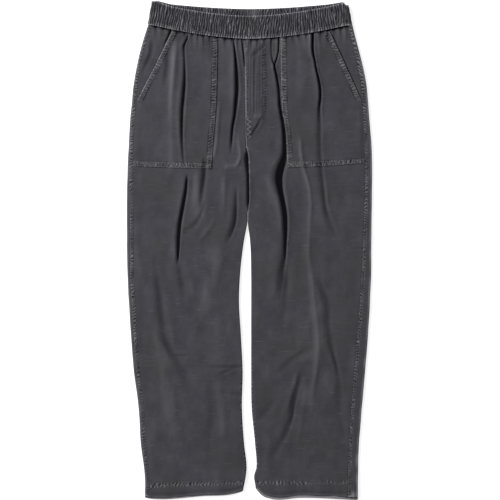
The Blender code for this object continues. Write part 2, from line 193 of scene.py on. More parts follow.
def hills(x, y, wide, high, seed):
    """Smooth random hills from -1 to 1, about this wide and high."""
    heights = np.random.default_rng(seed).uniform(-1, 1, (HILL_CELLS, HILL_CELLS))
    u, v = np.broadcast_arrays(x / wide + HILL_CELLS / 2, y / high + HILL_CELLS / 2)
    i, j = np.floor(u).astype(int), np.floor(v).astype(int)
    fu, fv = u - i, v - j
    fu, fv = fu * fu * (3 - 2 * fu), fv * fv * (3 - 2 * fv)
    i, j, i2, j2 = i % HILL_CELLS, j % HILL_CELLS, (i + 1) % HILL_CELLS, (j + 1) % HILL_CELLS
    low = heights[i, j] * (1 - fu) + heights[i2, j] * fu
    return low * (1 - fv) + (heights[i, j2] * (1 - fu) + heights[i2, j2] * fu) * fv


def hills_along(x, wide, seed):
    """Hills that change in one direction only."""
    return hills(x, 0 * x, wide, 1.0, seed)


print("hills repeat every", HILL_CELLS, "of their widths")


# %% [markdown]
# These are the sizes that the solids are cut from, so the cloth lies exactly where they
# lie. x runs to the wearer's left, the height runs up from the hem, and z is above the
# floor. Left and right are the wearer's. A row of the outline gives x of both legs' edges at
# one height, how far each side seam lies in from the outer edge, and how high the leg lies.

# %% Sizes of the trousers
MIDDLE = np.array([-0.000254, 0.507780, 0.0])  # the frame's origin, in these sizes
CLOTH = 0.0014
SEAM_GAP = 0.0003
LEGS_MEET = 0.569
CROTCH = 0.690
RISE_START = 0.760
POCKET_FOOT = 0.676
FLY_FOOT = 0.7375
WAIST_FRONT = 0.942
WAIST_BACK = 0.957
WAIST_SIDE = 0.972
WAIST_FADE = 0.800
BAND_SIDE = 0.2085
BAND_MIDDLE = 0.001
CURVE_POWER = 1.7
SIDES = {"right": -1, "left": 1}

Outline = namedtuple(
    "Outline",
    "height right_outer right_inner left_inner left_outer right_seam left_seam loft",
)
OUTLINES = [
    Outline(0.000, -0.2150, -0.0130, 0.0120, 0.2220, 0.007, 0.020, 0.0072),
    Outline(0.030, -0.2140, -0.0085, 0.0090, 0.2220, 0.008, 0.020, 0.0070),
    Outline(0.065, -0.2165, -0.0060, 0.0140, 0.2225, 0.008, 0.020, 0.0056),
    Outline(0.113, -0.2225, -0.0110, 0.0110, 0.2245, 0.009, 0.020, 0.0054),
    Outline(0.187, -0.2275, -0.0155, 0.0040, 0.2300, 0.010, 0.021, 0.0054),
    Outline(0.260, -0.2370, -0.0140, 0.0030, 0.2365, 0.012, 0.021, 0.0054),
    Outline(0.334, -0.2430, -0.0175, 0.0030, 0.2425, 0.012, 0.021, 0.0054),
    Outline(0.408, -0.2475, -0.0215, 0.0030, 0.2470, 0.012, 0.020, 0.0054),
    Outline(0.457, -0.2500, -0.0195, 0.0030, 0.2490, 0.012, 0.019, 0.0054),
    Outline(0.531, -0.2515, -0.0110, 0.0005, 0.2495, 0.013, 0.016, 0.0054),
    Outline(0.569, -0.2515, -0.0041, -0.0041, 0.2500, 0.013, 0.015, 0.0054),
    Outline(0.629, -0.2510, -0.0036, -0.0036, 0.2510, 0.011, 0.014, 0.0054),
    Outline(0.690, -0.2495, -0.0050, -0.0050, 0.2505, 0.010, 0.013, 0.0056),
    Outline(0.728, -0.2475, -0.0068, -0.0068, 0.2490, 0.009, 0.013, 0.0058),
    Outline(0.802, -0.2425, -0.0080, -0.0080, 0.2435, 0.008, 0.011, 0.0060),
    Outline(0.851, -0.2365, -0.0086, -0.0086, 0.2385, 0.007, 0.010, 0.0061),
    Outline(0.900, -0.2240, -0.0100, -0.0100, 0.2250, 0.006, 0.009, 0.0064),
    Outline(0.921, -0.2165, -0.0108, -0.0108, 0.2175, 0.006, 0.008, 0.0067),
    Outline(0.942, -0.2075, -0.0116, -0.0116, 0.2105, 0.006, 0.008, 0.0072),
]
HEM_RISE = {
    "right": [(0.00, 0.018), (0.08, 0.013), (0.40, 0.008), (0.95, 0.003), (1.00, 0.0045)],
    "left": [(0.00, 0.026), (0.06, 0.012), (0.15, 0.005), (0.45, 0.007), (1.0, 0.002)],
}
HEM_RISE_FADE = 0.080
BACK_HEM_DROP = {"right": 0.002, "left": 0.0045}
HEM_LINE = {
    "right": [(-0.202, 0.0280), (-0.018, 0.0344)],
    "left": [(0.018, 0.0340), (0.205, 0.0336)],
}
FRONT_HEM_LIFT = 0.0026  # shows a strip of the back's hem below the front's
HEM_LIFT_FADE = 0.020
POCKET_TILT = {"right": (0.000, 0.006), "left": (0.002, 0.0105)}  # the pocket's foot rises outwards
POCKET_TILT_FADE = 0.08
POCKET_REACH = 0.24
print("outline of", len(OUTLINES), "rows, from the hem to", OUTLINES[-1].height, "m up")

# %% Lines that the pieces end on, as (height, x)
MOUTH = {
    "right": [(0.942, -0.1575), (0.885, -0.1895), (0.834, -0.2198), (0.816, -0.2290)],
    "left": [(0.942, 0.1617), (0.885, 0.1937), (0.834, 0.2202), (0.816, 0.2288)],
}
MOUTH_INSET = 0.0008
MOUTH_END = 0.812
POCKET_INNER = {
    "right": [(0.942, -0.0655), (0.870, -0.0665), (0.785, -0.0695), (0.735, -0.0740),
              (0.676, -0.0780)],
    "left": [(0.942, 0.0638), (0.870, 0.0645), (0.800, 0.0670), (0.735, 0.0740),
             (0.676, 0.0785)],
}
FLY_EDGE = [(0.942, 0.0336), (0.795, 0.0336), (0.780, 0.0322), (0.765, 0.0275),
            (0.750, 0.0170), (0.7375, 0.0020)]
print("the pockets' mouths end", MOUTH_END, "m up")

# %% [markdown]
# The rows of a leg are level in these sizes, but the real cloth isn't: the waist seam sags
# in the middle, the hems rise at their corners, and the pockets' feet tilt. So a point is
# first placed in level rows and then bent to its real height.

# %% Edges, seams and bends


def outline(column, height):
    """One column of the outline's table, read at any height."""
    return curve([(row.height, getattr(row, column)) for row in OUTLINES], height)


def inner_edge(leg, height):
    """x of a leg's inner edge: its own below LEGS_MEET, and the centre seam's above."""
    seam = (outline("right_inner", height) + outline("left_inner", height)) / 2
    return np.where(height < LEGS_MEET, outline(leg + "_inner", height), seam)


def side_seam(leg, height):
    """x of the seam between a leg's front and its back, which wraps round to the front."""
    return outline(leg + "_outer", height) - SIDES[leg] * outline(leg + "_seam", height)


def waist_curve(x, middle, side):
    """Height of a seam that sags from the sides to the middle of the waist."""
    share = np.abs(x - BAND_MIDDLE) / BAND_SIDE
    return middle + (side - middle) * share**CURVE_POWER


def bent_height(leg, x, height, frontness):
    """Real height of a row's point, bent to the waist seam and the hem; 1 is the front's face."""
    waist = WAIST_BACK + (WAIST_FRONT - WAIST_BACK) * frontness
    near_waist = (np.maximum(height - WAIST_FADE, 0) / (WAIST_FRONT - WAIST_FADE)) ** 2
    raised = (waist_curve(x, waist, WAIST_SIDE) - WAIST_FRONT) * near_waist
    inner, outer = inner_edge(leg, 0.0), outline(leg + "_outer", 0.0)
    hem = curve(HEM_RISE[leg], (x - inner) / (outer - inner)) - BACK_HEM_DROP[leg] * (1 - frontness)
    raised = raised + hem * (1 - ramp(height, 0.0, HEM_RISE_FADE))
    raised = raised + FRONT_HEM_LIFT * frontness * (1 - ramp(height, 0.0, HEM_LIFT_FADE))
    near_pocket_foot = np.maximum(0.0, 1 - np.abs(height - POCKET_FOOT) / POCKET_TILT_FADE)
    rise, tilt = POCKET_TILT[leg]
    return height + raised + near_pocket_foot * (rise + tilt * (x / POCKET_REACH) ** 2)


def hem_line(leg, x):
    """Real height of the hem's stitches, which keep their level where the edge rises."""
    places, heights = zip(*HEM_LINE[leg])
    return np.interp(x, places, heights)


print("front and back meet", float(side_seam("left", 0.5)), "m left of the middle at the knee")

# %% [markdown]
# Washed trousers keep the creases that they were folded and pressed with. Each one is a
# soft trough with raised shoulders, or a ridge, whose two sides need not be alike: most are
# soft on one side and sharp on the other. A height field reads them all at once, which is
# why the same creases can run on through the panel, the pocket and the fly that lie on each
# other.

# %% Creases of the right front
Crease = namedtuple("Crease", "depth lift before after path")
# A trough depth deep, or a ridge where it is negative, with shoulders lift high. before and
# after are the widths of its two sides, and path is (height, x, strength, swell) for those
# that run down the leg. Strength scales its depth there and swell its widths; each is 1
# where it is left out.
RIGHT_CREASES = [
    # from the waist down past the pocket, sharp on its right
    Crease(0.0033, 0.0024, 0.005, 0.0024, [
        (0.97, -0.1242, 0.1, 0.5), (0.953, -0.1251, 0.2, 0.5), (0.941, -0.1275, 0.9, 0.6),
        (0.928, -0.1333, 0.9, 0.7), (0.916, -0.1333, 0.66, 0.8), (0.9, -0.1326, 0.7, 0.7),
        (0.875, -0.132, 0.85, 0.75), (0.847, -0.1324), (0.826, -0.1341, 1, 1.1), (0.797, -0.1369, 1, 1.1),
        (0.769, -0.1378, 0.95, 0.95), (0.746, -0.1378, 0.85, 0.8), (0.705, -0.1355, 0.55, 0.7),
        (0.674, -0.1324, 0, 0.6)]),
    # the deep fold below that pocket
    Crease(0.005, 0.0013, 0.0062, 0.003, [
        (0.666, -0.1271, 0, 0.4), (0.65, -0.1283, 0.9, 0.5), (0.633, -0.1296, 1, 0.65),
        (0.613, -0.1328, 1, 0.75), (0.586, -0.1378, 1, 0.85), (0.562, -0.1419, 1, 0.85),
        (0.537, -0.1441, 1, 0.8), (0.515, -0.1449, 1, 0.7), (0.498, -0.1458, 0.8, 0.55),
        (0.478, -0.1464, 0, 0.5)]),
    # and the soft hollow that it runs out in
    Crease(0.0016, 0.0002, 0.007, 0.009, [
        (0.5, -0.1455, 0), (0.47, -0.144, 0.9), (0.44, -0.14), (0.41, -0.136, 0.5), (0.38, -0.134, 0)]),
    # beside the crotch
    Crease(0.0048, 0.0026, 0.0046, 0.0028, [
        (0.949, -0.0328, 0.2, 0.4), (0.929, -0.0312, 0.6, 0.45), (0.912, -0.0291, 0.95, 0.6),
        (0.873, -0.0258, 1, 0.95), (0.838, -0.025, 1, 1.1), (0.81, -0.0271), (0.785, -0.0299, 1, 0.8),
        (0.759, -0.0344, 0.9, 0.7), (0.732, -0.0365, 0.55, 0.7), (0.703, -0.0377, 0, 0.6)]),
    # thin, under the band
    Crease(0.003, 0.002, 0.002, 0.0016, [
        (0.97, -0.016, 0.9), (0.943, -0.0156), (0.904, -0.0115, 0.9, 0.8), (0.879, -0.0094, 0, 0.6)]),
    # soft, on the thigh
    Crease(0.0022, 0.0016, 0.0052, 0.0048, [
        (0.702, -0.0912, 0, 0.8), (0.687, -0.0922, 0.9), (0.664, -0.0933, 1.1), (0.64, -0.0958),
        (0.613, -0.0985, 0.6), (0.588, -0.1, 0)]),
    # inside the thigh
    Crease(0.0026, 0.0013, 0.007, 0.003, [
        (0.646, -0.0258, 0, 0.6), (0.621, -0.0269, 0.7, 0.8), (0.592, -0.0279), (0.566, -0.0299),
        (0.541, -0.0381, 0.8), (0.519, -0.0484, 0, 0.8)]),
    # over the knee and shin
    Crease(0.0016, 0.0006, 0.0075, 0.0095, [
        (0.517, -0.1974, 0, 0.6), (0.466, -0.1923, 0.5, 0.7), (0.412, -0.1855, 0.9, 0.95),
        (0.357, -0.179), (0.33, -0.1745), (0.303, -0.1626), (0.277, -0.1476, 0.7, 1.3),
        (0.23, -0.1255, 0.42, 1.9), (0.191, -0.1043, 0.34, 2.2), (0.152, -0.0894, 0.25, 2.2),
        (0.111, -0.0832, 0, 2)]),
    # the long ridge beside the pocket's fold
    Crease(-0.003, 0, 0.0065, 0.006, [
        (0.961, -0.1488, 0), (0.933, -0.1509, 0.7), (0.906, -0.1529), (0.859, -0.157),
        (0.826, -0.1601, 0.9), (0.756, -0.1611, 0.5, 1.2), (0.695, -0.1611, 0.4, 1.2),
        (0.644, -0.1632, 0)]),
    # a broad soft ridge over the knee
    Crease(-0.0016, 0, 0.0165, 0.015, [
        (0.515, -0.0655, 0), (0.475, -0.069, 0.8), (0.449, -0.0745), (0.387, -0.093, 0.8),
        (0.345, -0.106, 0.3), (0.31, -0.115, 0)]),
    # the shin's soft ridge
    Crease(-0.0013, 0, 0.01, 0.011, [
        (0.449, -0.2042, 0), (0.383, -0.2032, 0.9), (0.31, -0.1898), (0.209, -0.1689, 0.7),
        (0.15, -0.1601, 0)]),
    # a soft trough beside the mouth
    Crease(0.0016, 0.0008, 0.006, 0.005, [
        (0.933, -0.1663, 0), (0.908, -0.1673, 0.8), (0.888, -0.1693), (0.859, -0.1724, 0.8),
        (0.834, -0.1755, 0)]),
    # soft and slanting, on the hip outside the mouth
    Crease(0.0015, 0.001, 0.0052, 0.0052, [
        (0.946, -0.199, 0, 0.8), (0.931, -0.2, 0.9), (0.91, -0.203), (0.892, -0.211),
        (0.877, -0.2185, 0.6), (0.862, -0.223, 0)]),
    # light ridges on the thigh
    Crease(-0.0018, 0, 0.006, 0.005, [
        (0.67, -0.0525, 0), (0.64, -0.0525), (0.603, -0.0525, 0.9), (0.562, -0.0545, 0)]),
    Crease(-0.0016, 0, 0.006, 0.006, [
        (0.695, -0.1099, 0), (0.658, -0.1099), (0.621, -0.1119, 0.8), (0.592, -0.115, 0)]),
    Crease(-0.0022, 0, 0.004, 0.004, [
        (0.822, -0.0617, 0), (0.793, -0.0636, 0.7), (0.769, -0.0656), (0.732, -0.0681),
        (0.707, -0.0722, 0.9), (0.689, -0.0763, 0)]),
    Crease(-0.0017, 0, 0.0036, 0.0036, [
        (0.744, -0.023, 0), (0.728, -0.0217, 0.8), (0.711, -0.0197), (0.699, -0.0201),
        (0.689, -0.0238, 0.8), (0.679, -0.0291, 0)]),
    # the shin, low down
    Crease(0.0012, 0.0008, 0.011, 0.011, [
        (0.244, -0.0832, 0), (0.199, -0.0771, 0.8), (0.152, -0.0791), (0.105, -0.0894, 0)]),
    Crease(-0.0005, 0, 0.008, 0.008, [
        (0.228, -0.0566, 0), (0.178, -0.056), (0.129, -0.056, 0.8), (0.084, -0.0566, 0)]),
]
print(len(RIGHT_CREASES), "creases on the right front")

# %% [markdown]
# The left leg lies looser. Two short creases meet in a V under the waistband and run into
# the trousers' deepest fold, which opens wide level with the crotch. A long ridge and the
# trough beside it go down the leg, and a blunt fold slants down the calf.

# %% Creases of the left front
LEFT_CREASES = [
    # the V under the band
    Crease(0.0032, 0.002, 0.0018, 0.0016, [
        (0.97, 0.0447, 0.3, 0.8), (0.944, 0.0449, 0.4, 0.8), (0.908, 0.0455, 0.5, 0.75), (0.894, 0.0484),
        (0.886, 0.0513, 0.8, 0.9), (0.877, 0.0529, 0, 0.8)]),
    Crease(0.0034, 0.0022, 0.002, 0.0016, [
        (0.97, 0.0603, 0.9, 0.75), (0.944, 0.0599, 1, 0.75), (0.908, 0.0574, 1, 0.75), (0.896, 0.0537),
        (0.886, 0.0513, 0.8, 0.9), (0.877, 0.0504, 0, 0.8)]),
    # and the long fold that it runs into
    Crease(0.0054, 0.003, 0.0052, 0.002, [
        (0.896, 0.0513, 0, 0.4), (0.886, 0.0519, 1, 0.5), (0.871, 0.0554, 1, 0.65),
        (0.859, 0.0578, 0.9, 0.7), (0.843, 0.0603, 0.66, 0.75), (0.822, 0.0619, 0.66, 0.7),
        (0.806, 0.0631, 0.9, 0.8), (0.793, 0.0652, 1, 0.7), (0.773, 0.0693, 1, 0.85), (0.75, 0.0724),
        (0.73, 0.0734, 1, 1.1), (0.705, 0.0736, 1, 1.4), (0.693, 0.0714, 1, 2), (0.683, 0.0686, 1, 2.4),
        (0.67, 0.065, 1, 2.5), (0.658, 0.0631, 1, 2.5), (0.646, 0.0634, 1, 2.3), (0.633, 0.065, 1, 1.9),
        (0.613, 0.0694, 1, 1.5), (0.584, 0.0744, 1, 1.3), (0.551, 0.0756, 1, 1.05),
        (0.527, 0.0748, 0.9, 0.8), (0.494, 0.073, 0.5, 0.8), (0.465, 0.069, 0.24, 1.5),
        (0.433, 0.064, 0.2, 1.9), (0.4, 0.0603, 0, 1.8)]),
    # with a soft slope down to it
    Crease(0.0019, 0, 0.0085, 0.004, [
        (0.63, 0.062, 0), (0.609, 0.0665, 0.6), (0.584, 0.0705, 0.9), (0.551, 0.0712), (0.527, 0.0705),
        (0.494, 0.068), (0.465, 0.064, 0.8, 1.2), (0.433, 0.06, 0, 1.2)]),
    # the pocket's fold
    Crease(0.0046, 0.0036, 0.0046, 0.0022, [
        (0.974, 0.1296, 0.5, 0.5), (0.949, 0.13, 1, 0.8), (0.912, 0.1312, 1, 0.75),
        (0.9, 0.1337, 0.9, 0.6), (0.879, 0.1374, 1, 0.6), (0.859, 0.1423, 1, 0.75),
        (0.843, 0.1451, 1, 0.8), (0.822, 0.1456, 0.9, 0.8), (0.802, 0.1435, 0.6, 0.9),
        (0.767, 0.1443, 0.38, 1.4), (0.726, 0.1443, 0.33, 1.6), (0.685, 0.1464, 0.33, 1.5),
        (0.633, 0.1517, 0.4, 1.4), (0.597, 0.156, 0.4, 1.4), (0.575, 0.1625, 0.26, 1.7),
        (0.545, 0.175, 0.16, 2.2), (0.52, 0.185, 0, 2.2)]),
    # the long ridge down the leg
    Crease(-0.0021, 0, 0.0088, 0.0044, [
        (0.748, 0.1033, 0, 0.5), (0.732, 0.1046, 0.8, 0.5), (0.703, 0.1066, 0.9, 0.5),
        (0.677, 0.1115, 1, 0.55), (0.644, 0.121, 1, 0.6), (0.605, 0.1253, 0.9, 0.7),
        (0.562, 0.123, 0.8, 0.9), (0.506, 0.121, 0.8), (0.469, 0.1246, 0.6), (0.437, 0.1287, 0.5, 0.9),
        (0.404, 0.132, 0.55, 0.9), (0.355, 0.1382, 0.6, 0.9), (0.31, 0.1402, 0.65, 0.9),
        (0.256, 0.1353, 0.85, 0.9), (0.211, 0.1275, 0.4, 1.1), (0.162, 0.1255, 0, 1.2)]),
    # the trough beside it
    Crease(0.0017, 0.0007, 0.008, 0.007, [
        (0.469, 0.1361, 0), (0.441, 0.1447, 0.7), (0.404, 0.1576, 0.75), (0.359, 0.1607, 0.7),
        (0.318, 0.1661, 0.8, 0.9), (0.293, 0.1722, 1, 0.6), (0.269, 0.1786, 1, 0.55), (0.244, 0.182, 0.7),
        (0.178, 0.1853, 0.5, 1.2), (0.121, 0.1915, 0.3, 1.4), (0.084, 0.1945, 0, 1.4)]),
    # the calf's fold, blunt at its top
    Crease(0.002, 0.0009, 0.0088, 0.0056, [
        (0.26, 0.1062, 0, 0.8), (0.248, 0.1039, 0.6, 0.9), (0.219, 0.0959, 0.75, 0.9),
        (0.193, 0.0898, 1, 0.8), (0.168, 0.0861, 1, 0.8), (0.154, 0.082, 0.8, 0.9),
        (0.131, 0.0722, 0.7, 1.1), (0.092, 0.0496, 0.5, 1.7), (0.059, 0.0357, 0, 1.5)]),
    Crease(-0.0013, 0, 0.007, 0.007, [
        (0.26, 0.1156, 0), (0.197, 0.1095), (0.137, 0.1029, 0.8), (0.09, 0.0972, 0)]),
    Crease(-0.0011, 0, 0.006, 0.006, [
        (0.269, 0.0972, 0), (0.242, 0.0931), (0.191, 0.0767, 0.8), (0.152, 0.0603, 0)]),
    # soft slanting hollows
    Crease(0.001, 0.0006, 0.0105, 0.012, [
        (0.318, 0.1228, 0), (0.303, 0.1128, 0.7), (0.285, 0.0859), (0.262, 0.0644, 0.7),
        (0.25, 0.05, 0)]),
    Crease(0.0008, 0.0005, 0.011, 0.011, [
        (0.219, 0.0562, 0), (0.197, 0.0449), (0.164, 0.0213, 0.7), (0.15, 0.0152, 0)]),
    Crease(0.0017, 0.0002, 0.0135, 0.0075, [
        (0.486, 0.0745, 0), (0.449, 0.0735), (0.418, 0.0715, 0.8), (0.387, 0.069, 0.5),
        (0.345, 0.065, 0)]),
    # across the mock fly
    Crease(0.0015, 0.0005, 0.0038, 0.0038, [
        (0.787, 0.0262, 0, 0.8), (0.777, 0.0223, 0.8, 0.9), (0.765, 0.0168, 1.15, 0.9),
        (0.752, 0.009, 1, 0.9), (0.743, 0.0045, 0, 0.8)]),
    Crease(0.0014, 0.001, 0.0042, 0.0036, [
        (0.933, 0.0141, 0), (0.916, 0.0131, 0.4), (0.896, 0.0115, 0.7, 0.8), (0.849, 0.0105, 0.7, 0.6),
        (0.802, 0.0105, 0.4, 0.6), (0.781, 0.0105, 0, 0.6)]),
]
DOWN_CREASES = RIGHT_CREASES + LEFT_CREASES
print(len(LEFT_CREASES), "creases on the left front and its fly")

# %% [markdown]
# A few creases run across the leg. Their path is read along x instead of along the height,
# and the same function gives the relief of both kinds. It also says how deep in a crease
# each point is, which sets how much shade is painted on the cloth there.

# %% Creases across the legs
ACROSS_CREASES = [  # path is (x, height, strength, swell)
    # right shin and calf
    Crease(0.0012, 0.0008, 0.0034, 0.0034, [
        (-0.095, 0.27, 0), (-0.078, 0.2706, 0.5), (-0.04, 0.2706, 0.8), (-0.02, 0.2712),
        (-0.015, 0.2712, 0.8)]),
    Crease(0.0009, 0.0008, 0.0036, 0.0036, [
        (-0.065, 0.256, 0), (-0.055, 0.258), (-0.033, 0.2675, 0.8), (-0.023, 0.27, 0)]),
    Crease(0.001, 0.0008, 0.007, 0.007, [
        (-0.07, 0.223, 0), (-0.04, 0.217, 0.8), (-0.02, 0.215), (-0.015, 0.215, 0.8)]),
    Crease(0.0011, 0.0008, 0.0024, 0.0024, [
        (-0.16, 0.294, 0), (-0.148, 0.2942), (-0.129, 0.2942, 0.8), (-0.121, 0.2945, 0)]),
    # round the deep fold's foot
    Crease(0.001, 0.0008, 0.0085, 0.0085, [
        (-0.14, 0.543, 0), (-0.125, 0.552, 0.8), (-0.106, 0.57), (-0.0914, 0.605, 0.6),
        (-0.086, 0.62, 0)]),
    Crease(-0.001, 0, 0.0075, 0.0075, [
        (-0.104, 0.53, 0), (-0.0976, 0.5371), (-0.075, 0.5638), (-0.068, 0.572, 0)]),
    # the arc under the pocket's corner
    Crease(-0.0014, 0, 0.0056, 0.0056, [
        (-0.052, 0.68, 0), (-0.048, 0.681, 0.9), (-0.033, 0.683), (-0.022, 0.69, 0.9), (-0.019, 0.7, 0)]),
    # by the fly's foot and under its band
    Crease(0.0011, 0.0008, 0.006, 0.006, [
        (0.003, 0.904, 0), (0.0055, 0.907, 0.8), (0.016, 0.915), (0.0275, 0.9245, 0.8),
        (0.031, 0.927, 0)]),
    Crease(-0.0016, 0, 0.0048, 0.0048, [
        (0.008, 0.783, 0), (0.012, 0.783), (0.024, 0.782), (0.029, 0.781, 0)]),
    # the pucker at the right hem's outer corner
    Crease(0.0014, 0.0008, 0.0026, 0.0026, [
        (-0.211, 0.009, 0), (-0.205, 0.015), (-0.193, 0.03), (-0.188, 0.036, 0)]),
]
SHOULDER = 2.4  # a trough's raised shoulders are this many times as wide as it is
DARK_DEPTH = 0.0034  # a trough this deep gets the full painted shade
DARK_POWER = 1.6  # and a shallow one only a little of it
DARK_SHARE = 0.76  # the dark floor's width as a share of the trough's


def creases(table, across, along):
    """The relief of a table's creases at many points, and how much shade is painted at each point for
    lying deep in one.
    """
    relief, depth = np.zeros(np.shape(across)), np.zeros(np.shape(across))
    for crease in table:
        full_path = [place + (1, 1)[len(place) - 2:] for place in sorted(crease.path)]
        at, line, strengths, swells = zip(*full_path)
        off = across - curve(list(zip(at, line)), along)
        strength = np.interp(along, at, strengths, left=0.0, right=0.0)
        width = np.where(off < 0, crease.before, crease.after) * np.interp(along, at, swells)
        relief += crease.lift * strength * bump(off, SHOULDER * width)
        relief -= (crease.depth + crease.lift) * strength * bump(off, width)
        # painted shade, darkest on a deep trough's floor
        dark = (max(crease.depth, 0.0) * strength / DARK_DEPTH) ** DARK_POWER
        depth += dark * np.exp(-np.abs(off / (DARK_SHARE * width)) ** 3)
    return relief, depth


print(len(DOWN_CREASES) + len(ACROSS_CREASES), "creases")

# %% [markdown]
# Under the waistband the cloth is drawn together. Wide tucks start there and die out a few
# centimetres down, each with a sharp notch at its top, and the seam itself is a groove.
# Shade is painted into the notches, a painted shadow runs along the seam, and the tucks'
# crests get painted highlight. The front's face is the laid leg's level plus all of this
# relief, and a trough stops where it would meet the back's cloth below.

# %% Outer face of the fronts
TUCK_PITCH = 0.0140
TUCK_HEIGHT = 0.0011
TUCK_REACH = 0.014
NOTCH_REACH = 0.0065
NOTCH_SHARPNESS = 5
WAIST_GROOVE = 0.0021  # the cloth dips under the waistband's lower edge
WAIST_GROOVE_WIDTH = 0.0026
VALLEY_FLOOR = 2 * CLOTH + SEAM_GAP + 0.0002  # the back's cloth stops a trough here
VALLEY_ROUNDING = 0.0006
SIDE_FLAT = 0.012  # the creases die out this near to the side seam


def drawn_in(x, height):
    """Tucks, notches and the painted shadow along the seam where the cloth is drawn into the waistband.
    """
    below_band = unit(WAIST_FRONT - height)
    phase = 2 * np.pi * x / TUCK_PITCH + 2.2 * hills(x, height, 0.040, 0.060, 6)
    tuck = np.cos(phase) + 0.7 * hills(x, height, 0.009, 0.030, 7)
    tuck = tuck * np.exp(-below_band / TUCK_REACH) * (0.75 + 0.5 * hills_along(x, 0.026, 10))
    reach = NOTCH_REACH * (1 + 0.7 * hills_along(x, 0.012, 9))
    lean = 40.0 * below_band * hills_along(x, 0.015, 16)
    notch = (0.5 - 0.5 * np.cos(phase + 0.7 + lean)) ** NOTCH_SHARPNESS * np.exp(-below_band / reach)
    # a painted shadow of uneven width along the seam under the band
    blob = hills_along(x, 0.0065, 8)
    band_shadow = bump(below_band, 0.0018 + 0.0022 * unit(blob)) * (0.95 + 0.5 * blob)
    return below_band, tuck, notch, unit(band_shadow)


def outer_face(leg, x, height):
    """z of a front's outer face at many points, with its painted crease shade, and its crests' wear and
    painted highlight.
    """
    loft = outline("loft", height)
    real = bent_height(leg, x, height, 1.0)
    relief, depth = np.add(creases(DOWN_CREASES, x, real), creases(ACROSS_CREASES, real, x))
    soft = 0.00105 * hills(x, height, 0.034, 0.085, 3) + 0.00050 * hills(x, height, 0.013, 0.036, 4)
    fine = 0.00013 * hills(x, height, 0.0045, 0.009, 5)
    below_band, tuck, notch, band_shadow = drawn_in(x, height)
    groove = WAIST_GROOVE * bump(below_band, WAIST_GROOVE_WIDTH)
    relief = relief + soft + fine + TUCK_HEIGHT * (tuck - notch) - groove
    share = ramp(np.abs(side_seam(leg, height) - x), 0.0, SIDE_FLAT)
    risen = loft + relief - VALLEY_FLOOR
    z = VALLEY_FLOOR + 0.5 * (risen + np.sqrt(risen**2 + VALLEY_ROUNDING**2))
    z = loft + share * (z - loft)
    # painted shade in soft troughs and in the notches under the band
    trough_shade = 0.22 * unit((-relief - 0.0004) / 0.0030)
    depth = unit(unit(depth + trough_shade + 1.1 * notch) * share + band_shadow)
    # painted highlight on the tucks' and ridges' crests, added to their wear
    puff = 0.5 * unit(tuck) * ramp(below_band, 0.002, 0.006)
    worn_and_highlit = unit((relief - 0.0004) / 0.0038 + puff) * share
    return z, depth, worn_and_highlit


print("a trough's floor lies", round(VALLEY_FLOOR, 5), "m up at the lowest")

# %% [markdown]
# Every cloth piece starts as rows and columns of points on its outer face. Where creases
# run, the columns are crowded together, so that the mesh is fine where the form needs it
# and light where it is calm. The face is then thickened inwards, as the real cloth has a
# thickness, and its edges are kept crisp.

# %% Helpers for cloth pieces
CROWDING = 5.0  # how many times closer the columns lie in a deep crease
CROWDING_DEPTH = 0.0015  # creases deeper than this crowd the columns
SEAM_CROWDING = 3.0
SEAM_CROWDING_WIDTH = 0.0045
SAMPLES = 700
SHARP_EDGE = np.radians(70)


def crowded(leg, start, end, height, count, seams=()):
    """Places of columns from start to end in each row, closer in creases and beside seams."""
    share = np.linspace(0, 1, SAMPLES)
    x = start[:, None] + (end - start)[:, None] * share
    real = bent_height(leg, x, height[:, None] + 0 * x, 1.0)
    deep = [crease for crease in DOWN_CREASES if crease.depth > CROWDING_DEPTH]
    density = 1 + CROWDING * unit(creases(deep, x, real)[1])
    for seam in seams:
        density = density + SEAM_CROWDING * bump(x - seam[:, None], SEAM_CROWDING_WIDTH)
    total = np.cumsum(density, axis=1)
    total = (total - total[:, :1]) / (total[:, -1:] - total[:, :1])
    steps = np.linspace(0, 1, count)
    return np.array([np.interp(steps, total[i], x[i]) for i in range(len(height))])


def cloth(name, points, marks, finish, wall, stands_for=None, up=True):
    """A cloth piece from rows of points on its outer face, thickened inwards."""
    rows, columns = points.shape[:2]
    index = np.arange(rows * columns).reshape(rows, columns)
    corners = (index[:-1, :-1], index[:-1, 1:], index[1:, 1:], index[1:, :-1])
    quads = np.stack(corners, -1).reshape(-1, 4)
    p = points.reshape(-1, 3)
    normals = np.cross(p[quads[:, 2]] - p[quads[:, 0]], p[quads[:, 3]] - p[quads[:, 1]])
    if (normals[:, 2].sum() > 0) != up:
        quads = quads[:, ::-1]
    mesh = bpy.data.meshes.new(name)
    mesh.from_pydata((p - MIDDLE).tolist(), [], quads.tolist())
    for mark, values in marks.items():
        layer = mesh.attributes.new(mark, "FLOAT", "POINT")
        layer.data.foreach_set("value", np.broadcast_to(unit(values), (rows, columns)).ravel())
    piece = placed(name, mesh)
    thicken = piece.modifiers.new("wall", "SOLIDIFY")
    thicken.thickness = wall
    thicken.offset = -1
    thicken.use_even_offset = False
    graph = bpy.context.evaluated_depsgraph_get()
    piece.data = bpy.data.meshes.new_from_object(piece.evaluated_get(graph))
    piece.modifiers.clear()
    piece.data.name = name
    piece.data.shade_smooth()
    piece.data.set_sharp_from_angle(angle=SHARP_EDGE)
    piece.data.materials.clear()
    piece.data.materials.append(finish.material)
    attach(piece, "root")
    if stands_for:
        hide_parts(stands_for)
    print(name, len(piece.data.polygons), "faces")
    return piece
